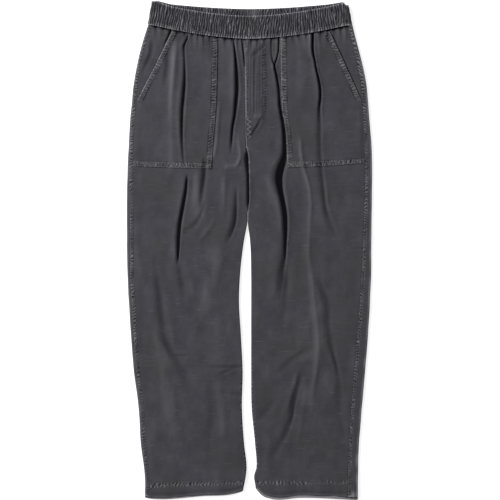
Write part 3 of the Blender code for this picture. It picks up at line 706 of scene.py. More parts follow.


# %% [markdown]
# The cloth is a cotton twill, woven, dyed charcoal and garment-washed. Washing leaves it
# matt and slightly felted, paler wherever seams rubbed, and with short thick threads that
# show as thin level streaks. Shade is painted dark deep in the creases, and highlight is
# painted pale on ridges, puckers and rims. The point mark "crease" says where the shade is
# painted, and the other mark says where the cloth is worn and where highlight is painted;
# everything else is a texture in real sizes.

# %% Washed twill
TWILL_PITCH = 0.0016  # real twill lines lie 0.8 mm apart; drawn twice as coarse, to show
TWILL_SLANT = np.radians(27)
WAVE_WIDTH = 0.314  # a wave texture repeats this often in a metre, at a scale of one
FUZZ_SIZE = 0.0026
SLUB_LENGTH = 0.016
SLUB_THICKNESS = 0.0009
MOTTLE_SIZE = 0.034
BLOTCH_SIZE = 0.075  # where the wash left the grey a little warmer
WARM_GREY = "#494848"
Finish = namedtuple("Finish", "material slot")


def washed_cloth(name, dark, light, faded_and_highlit, deep):
    """A washed cotton finish: mottled, streaked, faded where worn, with painted highlight on crests and
    painted shade deep in its creases.
    """
    made = bpy.data.materials.new(name)
    made.use_nodes = True
    tree = made.node_tree
    shader = tree.nodes["Principled BSDF"]
    shader.inputs["Metallic"].default_value = 0.0
    shader.inputs["IOR"].default_value = 1.45
    shader.inputs["Specular IOR Level"].default_value = 0.08
    shader.inputs["Sheen Weight"].default_value = 0.03
    shader.inputs["Sheen Roughness"].default_value = 0.6
    place = add_node(tree, "ShaderNodeTexCoord").outputs["Object"]
    mottle = add_node(tree, "ShaderNodeTexNoise", None,
                      {"Scale": 1 / MOTTLE_SIZE, "Detail": 4.0, "Roughness": 0.6},
                      {"Vector": place})
    mixed = add_node(tree, "ShaderNodeMix", {"data_type": "RGBA"},
                     {6: linear(dark), 7: linear(light)}, {0: mottle.outputs["Fac"]})
    blotch = add_node(tree, "ShaderNodeTexNoise", None, {"Scale": 1 / BLOTCH_SIZE, "Detail": 2.0},
                      {"Vector": place})
    warmth = add_node(tree, "ShaderNodeMapRange", None,
                      {"From Min": 0.48, "From Max": 0.75, "To Min": 0.0, "To Max": 0.75},
                      {"Value": blotch.outputs["Fac"]})
    stretched = add_node(tree, "ShaderNodeMapping", None,
                         {"Scale": (1 / SLUB_LENGTH, 1 / SLUB_THICKNESS, 1 / SLUB_THICKNESS)},
                         {"Vector": place})
    slub = add_node(tree, "ShaderNodeTexNoise", None, {"Scale": 0.5, "Detail": 1.0},
                    {"Vector": stretched.outputs["Vector"]})
    streak = add_node(tree, "ShaderNodeMapRange", None,
                      {"From Min": 0.64, "From Max": 0.84, "To Min": 0.0, "To Max": 0.22},
                      {"Value": slub.outputs["Fac"]})
    wear = add_node(tree, "ShaderNodeAttribute", {"attribute_name": "wear"})
    crease = add_node(tree, "ShaderNodeAttribute", {"attribute_name": "crease"})
    colour = mixed.outputs[2]
    # the last two mixes paint: the pale colour by the wear mark, as wear and painted highlight, and the
    # deep colour by the crease mark, as painted shade
    for tint, share in ((WARM_GREY, warmth.outputs["Result"]), (faded_and_highlit, streak.outputs["Result"]),
                        (faded_and_highlit, wear.outputs["Fac"]), (deep, crease.outputs["Fac"])):
        tinted = add_node(tree, "ShaderNodeMix", {"data_type": "RGBA"}, {7: linear(tint)},
                          {0: share, 6: colour})
        colour = tinted.outputs[2]
    tree.links.new(colour, shader.inputs["Base Color"])
    rough = add_node(tree, "ShaderNodeMapRange", None, {"To Min": 0.82, "To Max": 0.98},
                     {"Value": mottle.outputs["Fac"]})
    tree.links.new(rough.outputs["Result"], shader.inputs["Roughness"])
    slant = add_node(tree, "ShaderNodeMapping", None, {"Rotation": (0.0, 0.0, TWILL_SLANT)},
                     {"Vector": place})
    twill = add_node(tree, "ShaderNodeTexWave", {"wave_type": "BANDS", "bands_direction": "X"},
                     {"Scale": WAVE_WIDTH / TWILL_PITCH, "Distortion": 1.5, "Detail": 1.0},
                     {"Vector": slant.outputs["Vector"]})
    fuzz = add_node(tree, "ShaderNodeTexNoise", None, {"Scale": 1 / FUZZ_SIZE, "Detail": 3.0},
                    {"Vector": place})
    relief = add_node(tree, "ShaderNodeMath", {"operation": "ADD"}, None,
                      {0: twill.outputs["Fac"], 1: fuzz.outputs["Fac"]})
    raised = add_node(tree, "ShaderNodeBump", None, {"Strength": 0.35, "Distance": 0.00025},
                      {"Height": relief.outputs["Value"]})
    tree.links.new(raised.outputs["Normal"], shader.inputs["Normal"])
    return made


# matt, dusty charcoal with a bluish cast; rubbed edges go pale with painted highlight, and painted shade
# keeps crease floors black
washed_twill = Finish(
    washed_cloth("washed_charcoal_twill", "#3D3C43", "#5C5B61", "#949398", "#0B0B10"),
    "washed_twill")
# the same cloth gathered over elastic: its grey is more even, and its crests are rubbed paler and carry
# painted highlight
gathered_twill = Finish(
    washed_cloth("gathered_charcoal_twill", "#444349", "#54535A", "#B0AFB6", "#0B0B10"),
    "gathered_band")
print("materials", washed_twill.material.name, gathered_twill.material.name)

# %% [markdown]
# A front leg is one cut panel from the waist seam to the hem. Its outer face is flat at the
# side seam, carries the creases, and turns down at the inside leg. Above the crotch the two
# fronts lie level and meet at the centre seam.

# %% Rows and edges of the front legs
ROW_STEP = 0.0027
BEND_STEPS = 6
BEND_TAIL = 0.0005
PART_BENT = 0.12
FRONT_COLUMNS = 118
GROOVE_DEPTH = 0.0006  # cloth is drawn down where it is sewn
GROOVE_WIDTH = 0.0012
HEM_SINKS = 0.0018  # at the hem the front comes down to the back
WAIST_ROWS = 0.012  # the rows are close together this near to the waistband


def rows_between(low, high, step):
    """Heights from low to high, about a step apart."""
    return np.linspace(low, high, int((high - low) / step) + 1)


def leg_rows():
    """Heights of a leg's rows, closer together at the hem's stitches and under the waistband."""
    parts = [
        rows_between(0.0, 0.006, ROW_STEP),
        rows_between(0.006, 0.030, 0.0012),
        rows_between(0.030, WAIST_FRONT - WAIST_ROWS, ROW_STEP),
        rows_between(WAIST_FRONT - WAIST_ROWS, WAIST_FRONT, 0.0010),
    ]
    return np.concatenate([parts[0]] + [part[1:] for part in parts[1:]])


# stretches of height, as where they start, are full, fade and end
GAPE = (0.588, 0.612, 0.698, 0.722)  # where the two fronts part at the crotch
GAPE_SHIFT = 0.0029  # between the crotch's two ends the left edge draws back this far
GAPE_LAP = {"right": 0.0024, "left": 0.0}  # and the right one runs on below it


def gaping(height):
    """1 where the two fronts part at the centre seam, and 0 away from there."""
    return span(height, *GAPE)


def inner_bend(height):
    """How the inside edge turns down in each row: runs and drops from flat start to end."""
    turn = np.radians(90) * (1 - ramp(height, CROTCH, RISE_START))
    radius = outline("loft", height) / 2 - BEND_TAIL - SEAM_GAP / 2
    length = radius * np.pi / 2 * (1 - PART_BENT * np.sin(2 * turn))
    turn = np.maximum(turn, 0.01)[:, None]
    angle = turn * np.linspace(0, 1, BEND_STEPS + 1)
    run = length[:, None] / turn * np.sin(angle)
    drop = length[:, None] / turn * (1 - np.cos(angle))
    run = np.hstack([run, run[:, -1:] + BEND_TAIL * np.cos(turn)])
    drop = np.hstack([drop, drop[:, -1:] + BEND_TAIL * np.sin(turn)])
    return run, drop


def pocket_edges(leg, height):
    """x of a patch pocket's inner edge and of its mouth, or its side edge below the mouth."""
    side = SIDES[leg]
    limit = side_seam(leg, height) - side * MOUTH_INSET
    mouth = side * np.minimum(side * curve(MOUTH[leg], height), side * limit)
    mouth = mouth + (limit - mouth) * (1 - ramp(height, 0.792, 0.818))
    return curve(POCKET_INNER[leg], height), mouth


print(len(leg_rows()), "rows from the hem to the waistband")

# %% [markdown]
# What shows that the cloth was sewn and worn is a set of small marks: a gap at the crotch
# with frayed thread on its upper edge, dashes down the inside leg, puckers along the hem,
# and the shadow in a pocket's open mouth. Shade is painted into the gap, the mouth and the
# puckers' troughs, and highlight and shade are painted along the dashes. Each is a function
# of its own, which gives how far the face sinks or rises, how pale it is rubbed or painted,
# and how dark it is painted.

# %% Sewn and worn marks of the fronts
HEM_PUCKER = 0.0070  # from one of the hem's puckers to the next
INSIDE_DASH = 0.0075
INSIDE_SEAM = (0.035, 0.06, 0.20, 0.36)
CENTRE_SEAM = (0.716, 0.726, 0.778, 0.790)
FRAYED = (0.560, 0.575, 0.716, 0.724)
INSIDE_LEG = {"right": (0.5, 0.85), "left": (1.2, 0.45)}  # how pale and how dark its dashes are
MOUTH_GAPE = {"right": (1.4, 0.0030), "left": (0.35, 0.0020)}  # darkness and width under the band
MOUTH_LINE = {"right": 0.30, "left": 0.80}  # darkness of the thin line below that
MOUTH_SINK = 0.0012


def mouth_shadow(leg, x, height):
    """Painted shadow on the cloth just outside the pocket's mouth, where the opening gapes."""
    outside = SIDES[leg] * (x - pocket_edges(leg, height)[1])
    strength, wide = MOUTH_GAPE[leg]
    gape = strength * ramp(height, 0.908, 0.926) * bump(outside - 0.0012, wide)
    uneven = 0.8 + 0.3 * hills(height, x, 0.012, 0.01, 17)
    thin = MOUTH_LINE[leg] * ramp(height, 0.812, 0.835) * uneven * bump(outside - 0.0006, 0.0012)
    return np.maximum(np.minimum(1, gape), thin)


def crotch_marks(leg, x, rows, from_edge):
    """Rise, wear and darkness along the centre seam, which parts at the crotch; the darkness in the gap
    is painted shade.
    """
    gape = gaping(rows)
    low_seam = 0.75 * span(rows, *CENTRE_SEAM) * bump(from_edge, 0.0014)
    if leg == "left":
        jagged = 0.5 + 0.5 * hills(rows, x, 0.0045, 0.010, 13)
        frayed = span(rows, *FRAYED) * (0.40 + 0.60 * ramp(rows, 0.655, 0.675))
        frayed = 1.3 * frayed * jagged * bump(from_edge - 0.0008, 0.0014 + 0.0010 * jagged)
        return 0.0010 * gape * bump(from_edge, 0.006), frayed, low_seam
    wide = 0.0050 + 0.0030 * bump(rows - 0.695, 0.020)
    inward = np.maximum(from_edge - GAPE_LAP[leg] * gape, 0)
    # painted shade in the gap where the two fronts part
    black = np.minimum(1, 1.6 * gape) * np.exp(-(inward / (wide * gape + 0.0004)) ** 6)
    return -0.0020 * black, 0.0, np.maximum(black, low_seam)


def inside_leg_marks(leg, x, rows, from_edge):
    """Wear with painted highlight, and painted shade, in dashes where the inside leg's seam puckers."""
    at_seam = span(rows, *INSIDE_SEAM) * bump(from_edge - 0.0012, 0.0022)
    phase = 2 * np.pi * rows / INSIDE_DASH + 5 * hills(rows, x, 0.02, 0.02, 15)
    dashes = unit(0.5 + 1.2 * np.cos(phase))
    pale, murk = INSIDE_LEG[leg]
    return pale * at_seam * (1 - dashes), murk * at_seam * dashes


def hem_marks(leg, x, rows, up):
    """How far the hem's puckers sink, the wear and painted highlight on their crests, and the painted
    shade between them.
    """
    near_hem = bump(up - hem_line(leg, x), 0.0038)
    wander = 3.2 * hills(x, rows, 0.013, 0.006, 11) + 1.6 * hills(x, rows, 0.005, 0.004, 12)
    pucker = 0.5 + 0.5 * np.cos(2 * np.pi * x / HEM_PUCKER + wander)
    patchy = unit(0.55 + 0.9 * hills(x, rows, 0.015, 0.0035, 14))
    sunk = near_hem * (0.0002 + 0.0009 * (1 - pucker) * patchy)
    return sunk, near_hem * patchy * pucker**2, 1.2 * near_hem * patchy * (1 - pucker) ** 2


print("hem puckers every", HEM_PUCKER, "m")

# %% [markdown]
# The front panels can now be made. The relief sits on rows of points from the hem up to the
# waistband, and every mark is mixed in before the face is thickened to a wall.

# %% The two front panels


def front_points(leg):
    """Rows of points on a front's outer face, and their marks."""
    side = SIDES[leg]
    height = leg_rows()
    run, drop = inner_bend(height)
    drawn = (GAPE_SHIFT + GAPE_LAP[leg]) * gaping(height)
    edge = inner_edge(leg, height) + side * SEAM_GAP / 2 + drawn
    flat_start = edge + side * run[:, -1]
    seam = side_seam(leg, height) - side * SEAM_GAP / 2
    mouth = pocket_edges(leg, height)[1]
    flat = crowded(leg, flat_start, seam, height, FRONT_COLUMNS, [edge, mouth])
    x = np.hstack([flat_start[:, None] - side * run[:, :0:-1], flat])
    drop = np.hstack([drop[:, :0:-1], np.zeros_like(flat)])
    rows = np.broadcast_to(height[:, None], x.shape)
    from_edge, from_seam = side * (x - edge[:, None]), np.abs(seam[:, None] - x)
    loft = outline("loft", rows)
    z, dark, worn_and_highlit = outer_face(leg, x, rows)
    z = z - HEM_SINKS * (1 - ramp(rows, 0.0, 0.014)) * ramp(from_seam, 0.0, 0.018)
    z = loft + (z - loft) * (1 - 2 * drop / loft) - drop
    z = z - GROOVE_DEPTH * bump(from_seam, GROOVE_WIDTH)
    up = bent_height(leg, x, rows, 1 - drop / loft)
    crotch_rise, crotch_wear, crotch_dark = crotch_marks(leg, x, rows, from_edge)
    leg_pale, leg_dark = inside_leg_marks(leg, x, rows, from_edge)
    hem_sunk, hem_pale, hem_dark = hem_marks(leg, x, rows, up)
    shade = mouth_shadow(leg, x, rows)
    z = z + crotch_rise - hem_sunk - MOUTH_SINK * shade
    worn_and_highlit = 0.45 * (worn_and_highlit + crotch_wear + leg_pale) + hem_pale + 0.25 * bump(rows, 0.0022)
    dark = np.maximum(np.maximum(dark, crotch_dark) + leg_dark + hem_dark, shade)
    return np.stack([x, up, z], -1), {"crease": dark, "wear": worn_and_highlit}


fronts = {}
for leg in SIDES:
    fronts[leg] = cloth("front_" + leg + "_panel", *front_points(leg), washed_twill, CLOTH,
                        stands_for="front_" + leg)

# %% [markdown]
# A back leg lies under its front and is a little wider, so it wraps round the outside edge
# and shows as a narrow strip beside the side seam.

# %% The two back legs
BACK_FLAT_COLUMNS = 26
WRAP_STEPS = 8
STRIP_COLUMNS = 7
UNDERSIDE_RELIEF = 0.0010
HEM_CLOSES = 0.0026  # the back's hem rises towards the front's
HEM_LIT_RIM = 0.0110  # height of the back's hem rim, painted pale where the front's hem shades it
# painted highlight on the back's folded outer edge, added to its wear
FOLD_HIGHLIGHT = {"right": 0.45, "left": 1.3}


def strip_marks(leg, x, rows, outer, on_top):
    """Wear and painted highlight on the folded edge of the back's strip outside the side seam, and its
    darkness.
    """
    side = SIDES[leg]
    low = (1 - ramp(rows, 0.05, 0.17)) * (leg == "left")
    folded = bump(outer - side * 0.0014 - x, 0.0018 + 0.0028 * low)
    edge_tone = FOLD_HIGHLIGHT[leg] * (0.6 + 0.4 * hills(rows + 0 * x, x, 0.02, 1.0, 23))
    line = 0.8 * low * bump(outer - side * 0.0062 - x, 0.0013)
    return edge_tone * folded * on_top, line * on_top


def back_points(leg):
    """Rows of points on a back's outer face: bent edge, flat, wrapped edge and strip in sight."""
    side = SIDES[leg]
    height = rows_between(0.0, WAIST_FRONT, ROW_STEP)
    rows, loft = height[:, None], outline("loft", height)
    run, drop = inner_bend(height)
    edge = inner_edge(leg, height) + side * SEAM_GAP / 2
    flat_start = edge + side * run[:, -1]
    outer = outline(leg + "_outer", height) + 0.0004 * hills(height, height, 0.03, 1.0, 21)
    radius = loft / 2
    flat_end = outer - side * radius
    x_bend, z_bend = flat_start[:, None] - side * run[:, ::-1], drop[:, ::-1]
    share = np.linspace(0, 1, BACK_FLAT_COLUMNS)[1:-1]
    x_flat = flat_start[:, None] + (flat_end - flat_start)[:, None] * share
    pressed = creases(DOWN_CREASES, x_flat * 0.93 + 0.006, rows * 0.97 + 0.02)[1]
    z_flat = UNDERSIDE_RELIEF * unit(pressed) * np.sin(np.pi * share)
    angle = np.pi * np.linspace(0, 1, WRAP_STEPS + 1)
    x_wrap = flat_end[:, None] + side * radius[:, None] * np.sin(angle)
    z_wrap = radius[:, None] * (1 - np.cos(angle))
    seam = side_seam(leg, height) + side * SEAM_GAP / 2
    to_seam = np.linspace(0, 1, STRIP_COLUMNS + 1)[1:]
    x_strip = flat_end[:, None] + (seam - flat_end)[:, None] * to_seam
    z_strip = loft[:, None] - GROOVE_DEPTH * bump(x_strip - seam[:, None], GROOVE_WIDTH)
    x = np.hstack([x_bend, x_flat, x_wrap, x_strip])
    z = np.hstack([z_bend, z_flat, z_wrap, z_strip])
    up = bent_height(leg, x, np.broadcast_to(rows, x.shape), z / loft[:, None])
    closed = HEM_CLOSES * (1 - ramp(rows, 0.0, 0.012)) * np.sin(np.pi * share) ** 0.3
    z[:, x_bend.shape[1]:x_bend.shape[1] + x_flat.shape[1]] += closed
    worn_and_highlit, dark = strip_marks(leg, x, rows, outer[:, None], z > radius[:, None])
    return np.stack([x, up, z], -1), {"crease": dark, "wear": worn_and_highlit + bump(rows, HEM_LIT_RIM)}


for leg in SIDES:
    cloth("back_" + leg + "_panel", *back_points(leg), washed_twill, CLOTH,
          stands_for="back_" + leg, up=False)

# %% [markdown]
# The front pockets are patches, sewn on over the fronts. Their edges are folded under and
# stitched twice, which leaves a raised, puckered band that rubs pale in the wash, with
# painted highlight on its crests and rim and painted shade between its puckers. The same
# height field as the panel's carries the creases through them.

# %% Folded and stitched edges
PATCH_WALL = 0.0010
PATCH_RISE = 0.00175  # outer face above the panel's
PATCH_ROW_STEP = 0.0015
EDGE_ROLL = 0.0013
PUCKER_PITCH = 0.0053
STITCH_IN = 0.0018  # a stitch row's distance from the edge of its band


def roll(distance):
    """How far a folded edge's face has dropped, this near to the edge."""
    inside = np.clip(EDGE_ROLL - distance, 0.0, EDGE_ROLL)
    return EDGE_ROLL - np.sqrt(EDGE_ROLL**2 - inside**2)


def stitched_band(distance, along, wide, seed, pale=1.0, murk=1.0, rim=0.65):
    """Relief, wear with painted highlight, and painted shade of a folded edge sewn with two rows, from
    its distance in.
    """
    on_band = span(distance, -0.0010, 0.0012, wide - 0.0010, wide + 0.0010)
    wobble = 3.2 * hills(along, distance, 0.015, 0.016, seed)
    wobble = wobble + 2.4 * hills(along, distance, 0.0050, 0.0040, seed + 2)
    pull = 0.5 + 0.5 * np.cos(2 * np.pi * along / PUCKER_PITCH + distance / 0.006 + wobble)
    rows = bump(distance - STITCH_IN, 0.0011) + bump(distance - (wide - STITCH_IN), 0.0011)
    relief = 0.00065 * on_band * (0.4 + 0.6 * pull) - 0.00045 * rows * (1 - 0.5 * pull)
    uneven = unit(0.58 + 0.55 * hills(along, distance, 0.010, 0.0035, seed + 1))
    other = unit(0.58 - 0.55 * hills(along, distance, 0.013, 0.0035, seed + 4))
    beaded = 0.74 + 0.46 * hills_along(along, 0.0036, seed + 6)
    # wear and painted highlight on the puckers' crests and along the folded rim
    worn_and_highlit = 0.80 * uneven * on_band * pull**2 + rim * beaded * bump(distance - 0.0003, 0.0009)
    # painted shade between the puckers, and a painted shadow just beyond the band's edge
    dark = 0.88 * on_band * (1 - pull) ** 2 + 0.50 * bump(distance - wide - 0.0004, 0.0010)
    return np.array([relief, unit(pale * worn_and_highlit), unit(murk * other * dark)])


def slanted(distance, line, height):
    """A level distance from a slanted line, as the true distance."""
    step = 0.001
    return distance / np.sqrt(1 + ((line(height + step) - line(height - step)) / (2 * step)) ** 2)


def edge_columns(leg, start, end, height, count):
    """Columns from one folded edge to the other, close together at both."""
    steps = np.array([0.0, 0.00025, 0.0007, 0.0013, 0.0021, 0.0035, 0.0060, 0.0078, 0.0095, 0.0112])
    side = np.sign(end - start)[:, None]
    room = np.minimum(1.0, np.abs(end - start)[:, None] / 0.03)
    near = start[:, None] + side * steps * room
    far = end[:, None] - side * steps[::-1] * room
    middle = crowded(leg, near[:, -1], far[:, 0], height, count + 2)[:, 1:-1]
    return np.hstack([near, middle, far])


print("puckers every", PUCKER_PITCH, "m along a stitched edge")

# %% [markdown]
# Each pocket is one patch from the waistband to the thigh. Its mouth slants and gapes a
# little, its inner edge and foot are sewn down, and its outer edge is caught in the side
# seam. Where two bands meet, the higher relief and the stronger marks are kept, and the
# grooves of their stitches run through.

# %% Pockets
MOUTH_BAND = 0.0095  # widths of the folded, stitched edges
INNER_BAND = 0.0105
FOOT_BAND = 0.0115
CAUGHT_DROP = 0.0013  # the patch lies down where the side seam catches it
EdgeTones = namedtuple("EdgeTones", "inner_pale inner_murk mouth_pale mouth_rim")
EDGE_TONES = {  # wear with painted highlight, and painted shade, on each pocket's edges; the right mouth's rim is palest
    "right": EdgeTones(0.80, 1.45, 0.80, 1.35),
    "left": EdgeTones(1.05, 1.00, 1.15, 0.35),
}
MOUTH_MURK = 1.35
CAUGHT = (0.806, 0.822)  # below the mouth the side seam holds the pocket's edge


def pocket_points(leg):
    """Rows of points on a pocket's outer face, and their marks."""
    side, edge_tone = SIDES[leg], EDGE_TONES[leg]
    height = rows_between(POCKET_FOOT, WAIST_FRONT, PATCH_ROW_STEP)
    inner, mouth = pocket_edges(leg, height)
    x = edge_columns(leg, inner, mouth, height, 58)
    rows = np.broadcast_to(height[:, None], x.shape)
    z, dark, worn_and_highlit = outer_face(leg, x, rows)
    from_inner = slanted(side * (x - inner[:, None]), lambda h: pocket_edges(leg, h)[0], rows)
    from_mouth = slanted(side * (mouth[:, None] - x), lambda h: pocket_edges(leg, h)[1], rows)
    from_foot = rows - POCKET_FOOT
    caught = 1 - ramp(rows, *CAUGHT)
    inner_band = stitched_band(from_inner, rows, INNER_BAND, 31, edge_tone.inner_pale, edge_tone.inner_murk)
    mouth_band = stitched_band(from_mouth, rows * 1.15, MOUTH_BAND, 33, edge_tone.mouth_pale,
                               MOUTH_MURK, edge_tone.mouth_rim)
    foot_band = stitched_band(from_foot, x, FOOT_BAND, 35)
    bands = np.array([inner_band, mouth_band * (1 - caught), foot_band])
    relief, band_pale, band_dark = bands.max(axis=0)
    sunk = bands[:, 0].min(axis=0)
    relief = np.where(sunk < -0.0001, relief * 0.5 + sunk, relief)
    nearest = np.minimum(np.minimum(from_inner, from_mouth + 0.01 * caught), from_foot + 0.0002)
    gape = 0.0012 * bump(from_mouth, 0.012) * ramp(rows, 0.83, 0.93)
    z = z + PATCH_RISE + relief + gape - roll(np.maximum(nearest, 0.0))
    z = z - CAUGHT_DROP * caught * bump(from_mouth, 0.006)
    marks = {"crease": dark + band_dark, "wear": 0.45 * worn_and_highlit + band_pale}
    return np.stack([x, bent_height(leg, x, rows, 1.0), z], -1), marks


pockets = {}
for leg in SIDES:
    pockets[leg] = cloth("pocket_" + leg + "_patch", *pocket_points(leg), washed_twill, PATCH_WALL,
                         stands_for="pocket_" + leg)

# %% [markdown]
# The mock fly is a narrow patch with a J-shaped edge, sewn to the left front beside the
# centre seam. It has no opening. The J's band stands out near the waist and melts into the
# front at its foot, where a zigzag tack holds it.

# %% Mock fly
FLY_BAND = 0.0088  # widths of its stitched edges, on the J and beside the centre seam
CENTRE_BAND = 0.0060
FOOT_DROP = 0.0016  # the fly's outer edge melts into the front below
RIB_PITCH = 0.0062
TACK_FOOT = 0.731
TACK_STEP = 0.0052  # height of a stroke of the tack's zigzag
TACK_PLACE = (0.0016, 0.0080)  # its start and its width, from the centre seam
TACKED = (0.733, 0.738, 0.778, 0.783)  # the stretch of height that the tack covers


def tack(rows, from_centre):
    """The zigzag tack at the fly's foot, and the painted shade between its strokes."""
    swing = np.abs((rows - TACK_FOOT) / TACK_STEP % 2 - 1)
    on_tack = span(rows, *TACKED)
    start, wide = TACK_PLACE
    strokes = on_tack * bump(from_centre - start - wide * swing, 0.0011)
    between = 0.5 * on_tack * bump(from_centre - 0.0056, 0.0040) * (1 - unit(1.6 * strokes))
    return strokes, between


def fly_points():
    """Rows of points on the mock fly's outer face, and their marks."""
    height = rows_between(FLY_FOOT, WAIST_FRONT, PATCH_ROW_STEP)
    edge = inner_edge("left", height) + SEAM_GAP / 2 + 0.0004
    x = edge_columns("left", edge, np.maximum(curve(FLY_EDGE, height), edge + 0.004), height, 16)
    rows = np.broadcast_to(height[:, None], x.shape)
    z, dark, worn_and_highlit = outer_face("left", x, rows)
    from_centre = x - edge[:, None]
    from_edge = slanted(x[:, -1:] - x, lambda h: curve(FLY_EDGE, h), rows)
    banded = ramp(rows, 0.782, 0.800)  # the J's band stands out only above its foot
    relief, wear, murk = banded * stitched_band(from_edge, rows, FLY_BAND, 41, 0.65, 0.9, 0.1)
    edged = ramp(rows, 0.774, 0.788)
    centre_relief, centre_pale, centre_murk = edged * stitched_band(from_centre, rows, CENTRE_BAND, 43)
    ribs = np.cos(2 * np.pi * x / RIB_PITCH + hills(x, rows, 0.02, 0.03, 45)) * banded
    # painted highlight on the ribs' crests
    rib_highlight = 0.16 * unit(ribs) ** 2 * bump(from_centre - 0.008, 0.009)
    strokes, between = tack(rows, from_centre)
    z = z + PATCH_RISE + relief + 0.5 * centre_relief + 0.00018 * ribs + 0.0004 * strokes
    z = z - roll(np.maximum(from_centre, 0.0)) - FOOT_DROP * bump(from_edge, 0.006)
    z = z - FOOT_DROP * (1 - edged) * bump(from_centre, 0.0035)
    wear = unit(0.45 * worn_and_highlit + 0.8 * wear + 0.8 * centre_pale + rib_highlight) + strokes
    # painted shade in the ribs' troughs, the J's pinches and along the centre seam below the tack
    dark = dark + murk + 0.4 * centre_murk + 0.16 * unit(-ribs) + between
    dark = dark + 0.9 * (1 - edged) * bump(from_centre, 0.0015)
    return np.stack([x, bent_height("left", x, rows, 1.0), z], -1), {"crease": dark, "wear": wear}


fly = cloth("mock_fly", *fly_points(), washed_twill, PATCH_WALL, stands_for="fly")

# %% [markdown]
# The waistband is a tube of the same cloth drawn together over wide elastic. Its gathers
# are rounded on top and pinched between, they wander, and some run into each other, so each
# one's place is a steady count that is pushed along by smooth hills. The front half lies on
# the back half, whose inside shows above it.

# %% The two halves of the waistband
BAND_HEIGHT = 0.047
BAND_LOFT = 0.0083
BAND_TAPER = 0.008
BAND_WALL = 0.0016
GATHER_DEPTH = 0.0025
COLUMNS_EACH = 12  # to each gather
BAND_ROWS = 26
END_STEPS = 8
STITCHES_UP = 0.0062  # height of the stitches above the waistband's lower edge
BandHalf = namedtuple("BandHalf", "gathers top_middle foot_middle is_front seed")
BAND_HALVES = {
    "waistband_front": BandHalf(84, 0.989, WAIST_FRONT, True, 51),
    "waistband_back": BandHalf(80, 1.004, WAIST_BACK, False, 61),
}


def gathers(across, up, count, seed):
    """Gathers from 0 in their pinches to 1 on their crests; across is -1 to 1, up 0 to 1."""
    lean = 2.6 * up * (0.6 + 0.6 * hills(across, up, 0.16, 3.0, seed + 5))
    push = 1.9 * hills(across, up, 0.09, 0.6, seed) + 1.2 * hills(across, up, 0.024, 0.22, seed + 1)
    phase = np.pi * count * (across + 1) / 2 + push - lean
    finer = np.abs(np.cos(2.1 * phase + 2.0 * hills(across, up, 0.045, 0.30, seed + 3)))
    crinkle = 0.82 + 0.18 * hills(across, up, 0.0045, 0.060, seed + 9)
    strand = np.abs(np.cos(4.3 * phase + 2.5 * hills(across, up, 0.030, 0.22, seed + 8)))
    crest = np.abs(np.cos(phase)) * (0.50 + 0.32 * finer + 0.18 * strand)
    uneven = 0.68 + 0.32 * hills(across, up, 0.015, 0.24, seed + 2)
    return crest * uneven * crinkle


def band_marks(half, across, up, x, tall, crest, rim, sewn, plain):
    """Painted shade in the waistband's pinches, and wear with painted highlight on its crests and rims.
    """
    # painted shade in the pinches between gathers
    pinch = unit(1.05 - crest / 0.34)
    dots = sewn * (0.5 + 0.5 * hills(across, up, 0.008, 0.05, half.seed + 4))
    uneven = unit(0.5 + 0.55 * hills(across, up, 0.013, 0.16, half.seed + 6))
    uneven = unit(uneven + 0.45 * hills(across, up, 0.0065, 0.085, half.seed + 7))
    fold = bump((1 - up) * tall, 0.0015) * half.is_front
    smooth_rim = bump(up * tall, 0.0026) * (0.4 + crest + 0.6 * bump(x - 0.008, 0.040))
    # wear and painted highlight on the crests, the rims and the front's folded top
    wear = 1.95 * uneven * crest**3 + 0.50 * rim * crest + 0.45 * dots * crest + 0.12 * plain
    wear = wear + fold * (0.30 + 0.45 * crest) + 0.40 * smooth_rim
    dark = (0.90 + 0.40 * sewn) * pinch * (1 - 0.8 * plain) * (1 - 0.6 * fold)
    return {"crease": dark * (1 - 0.6 * unit(smooth_rim)), "wear": wear}


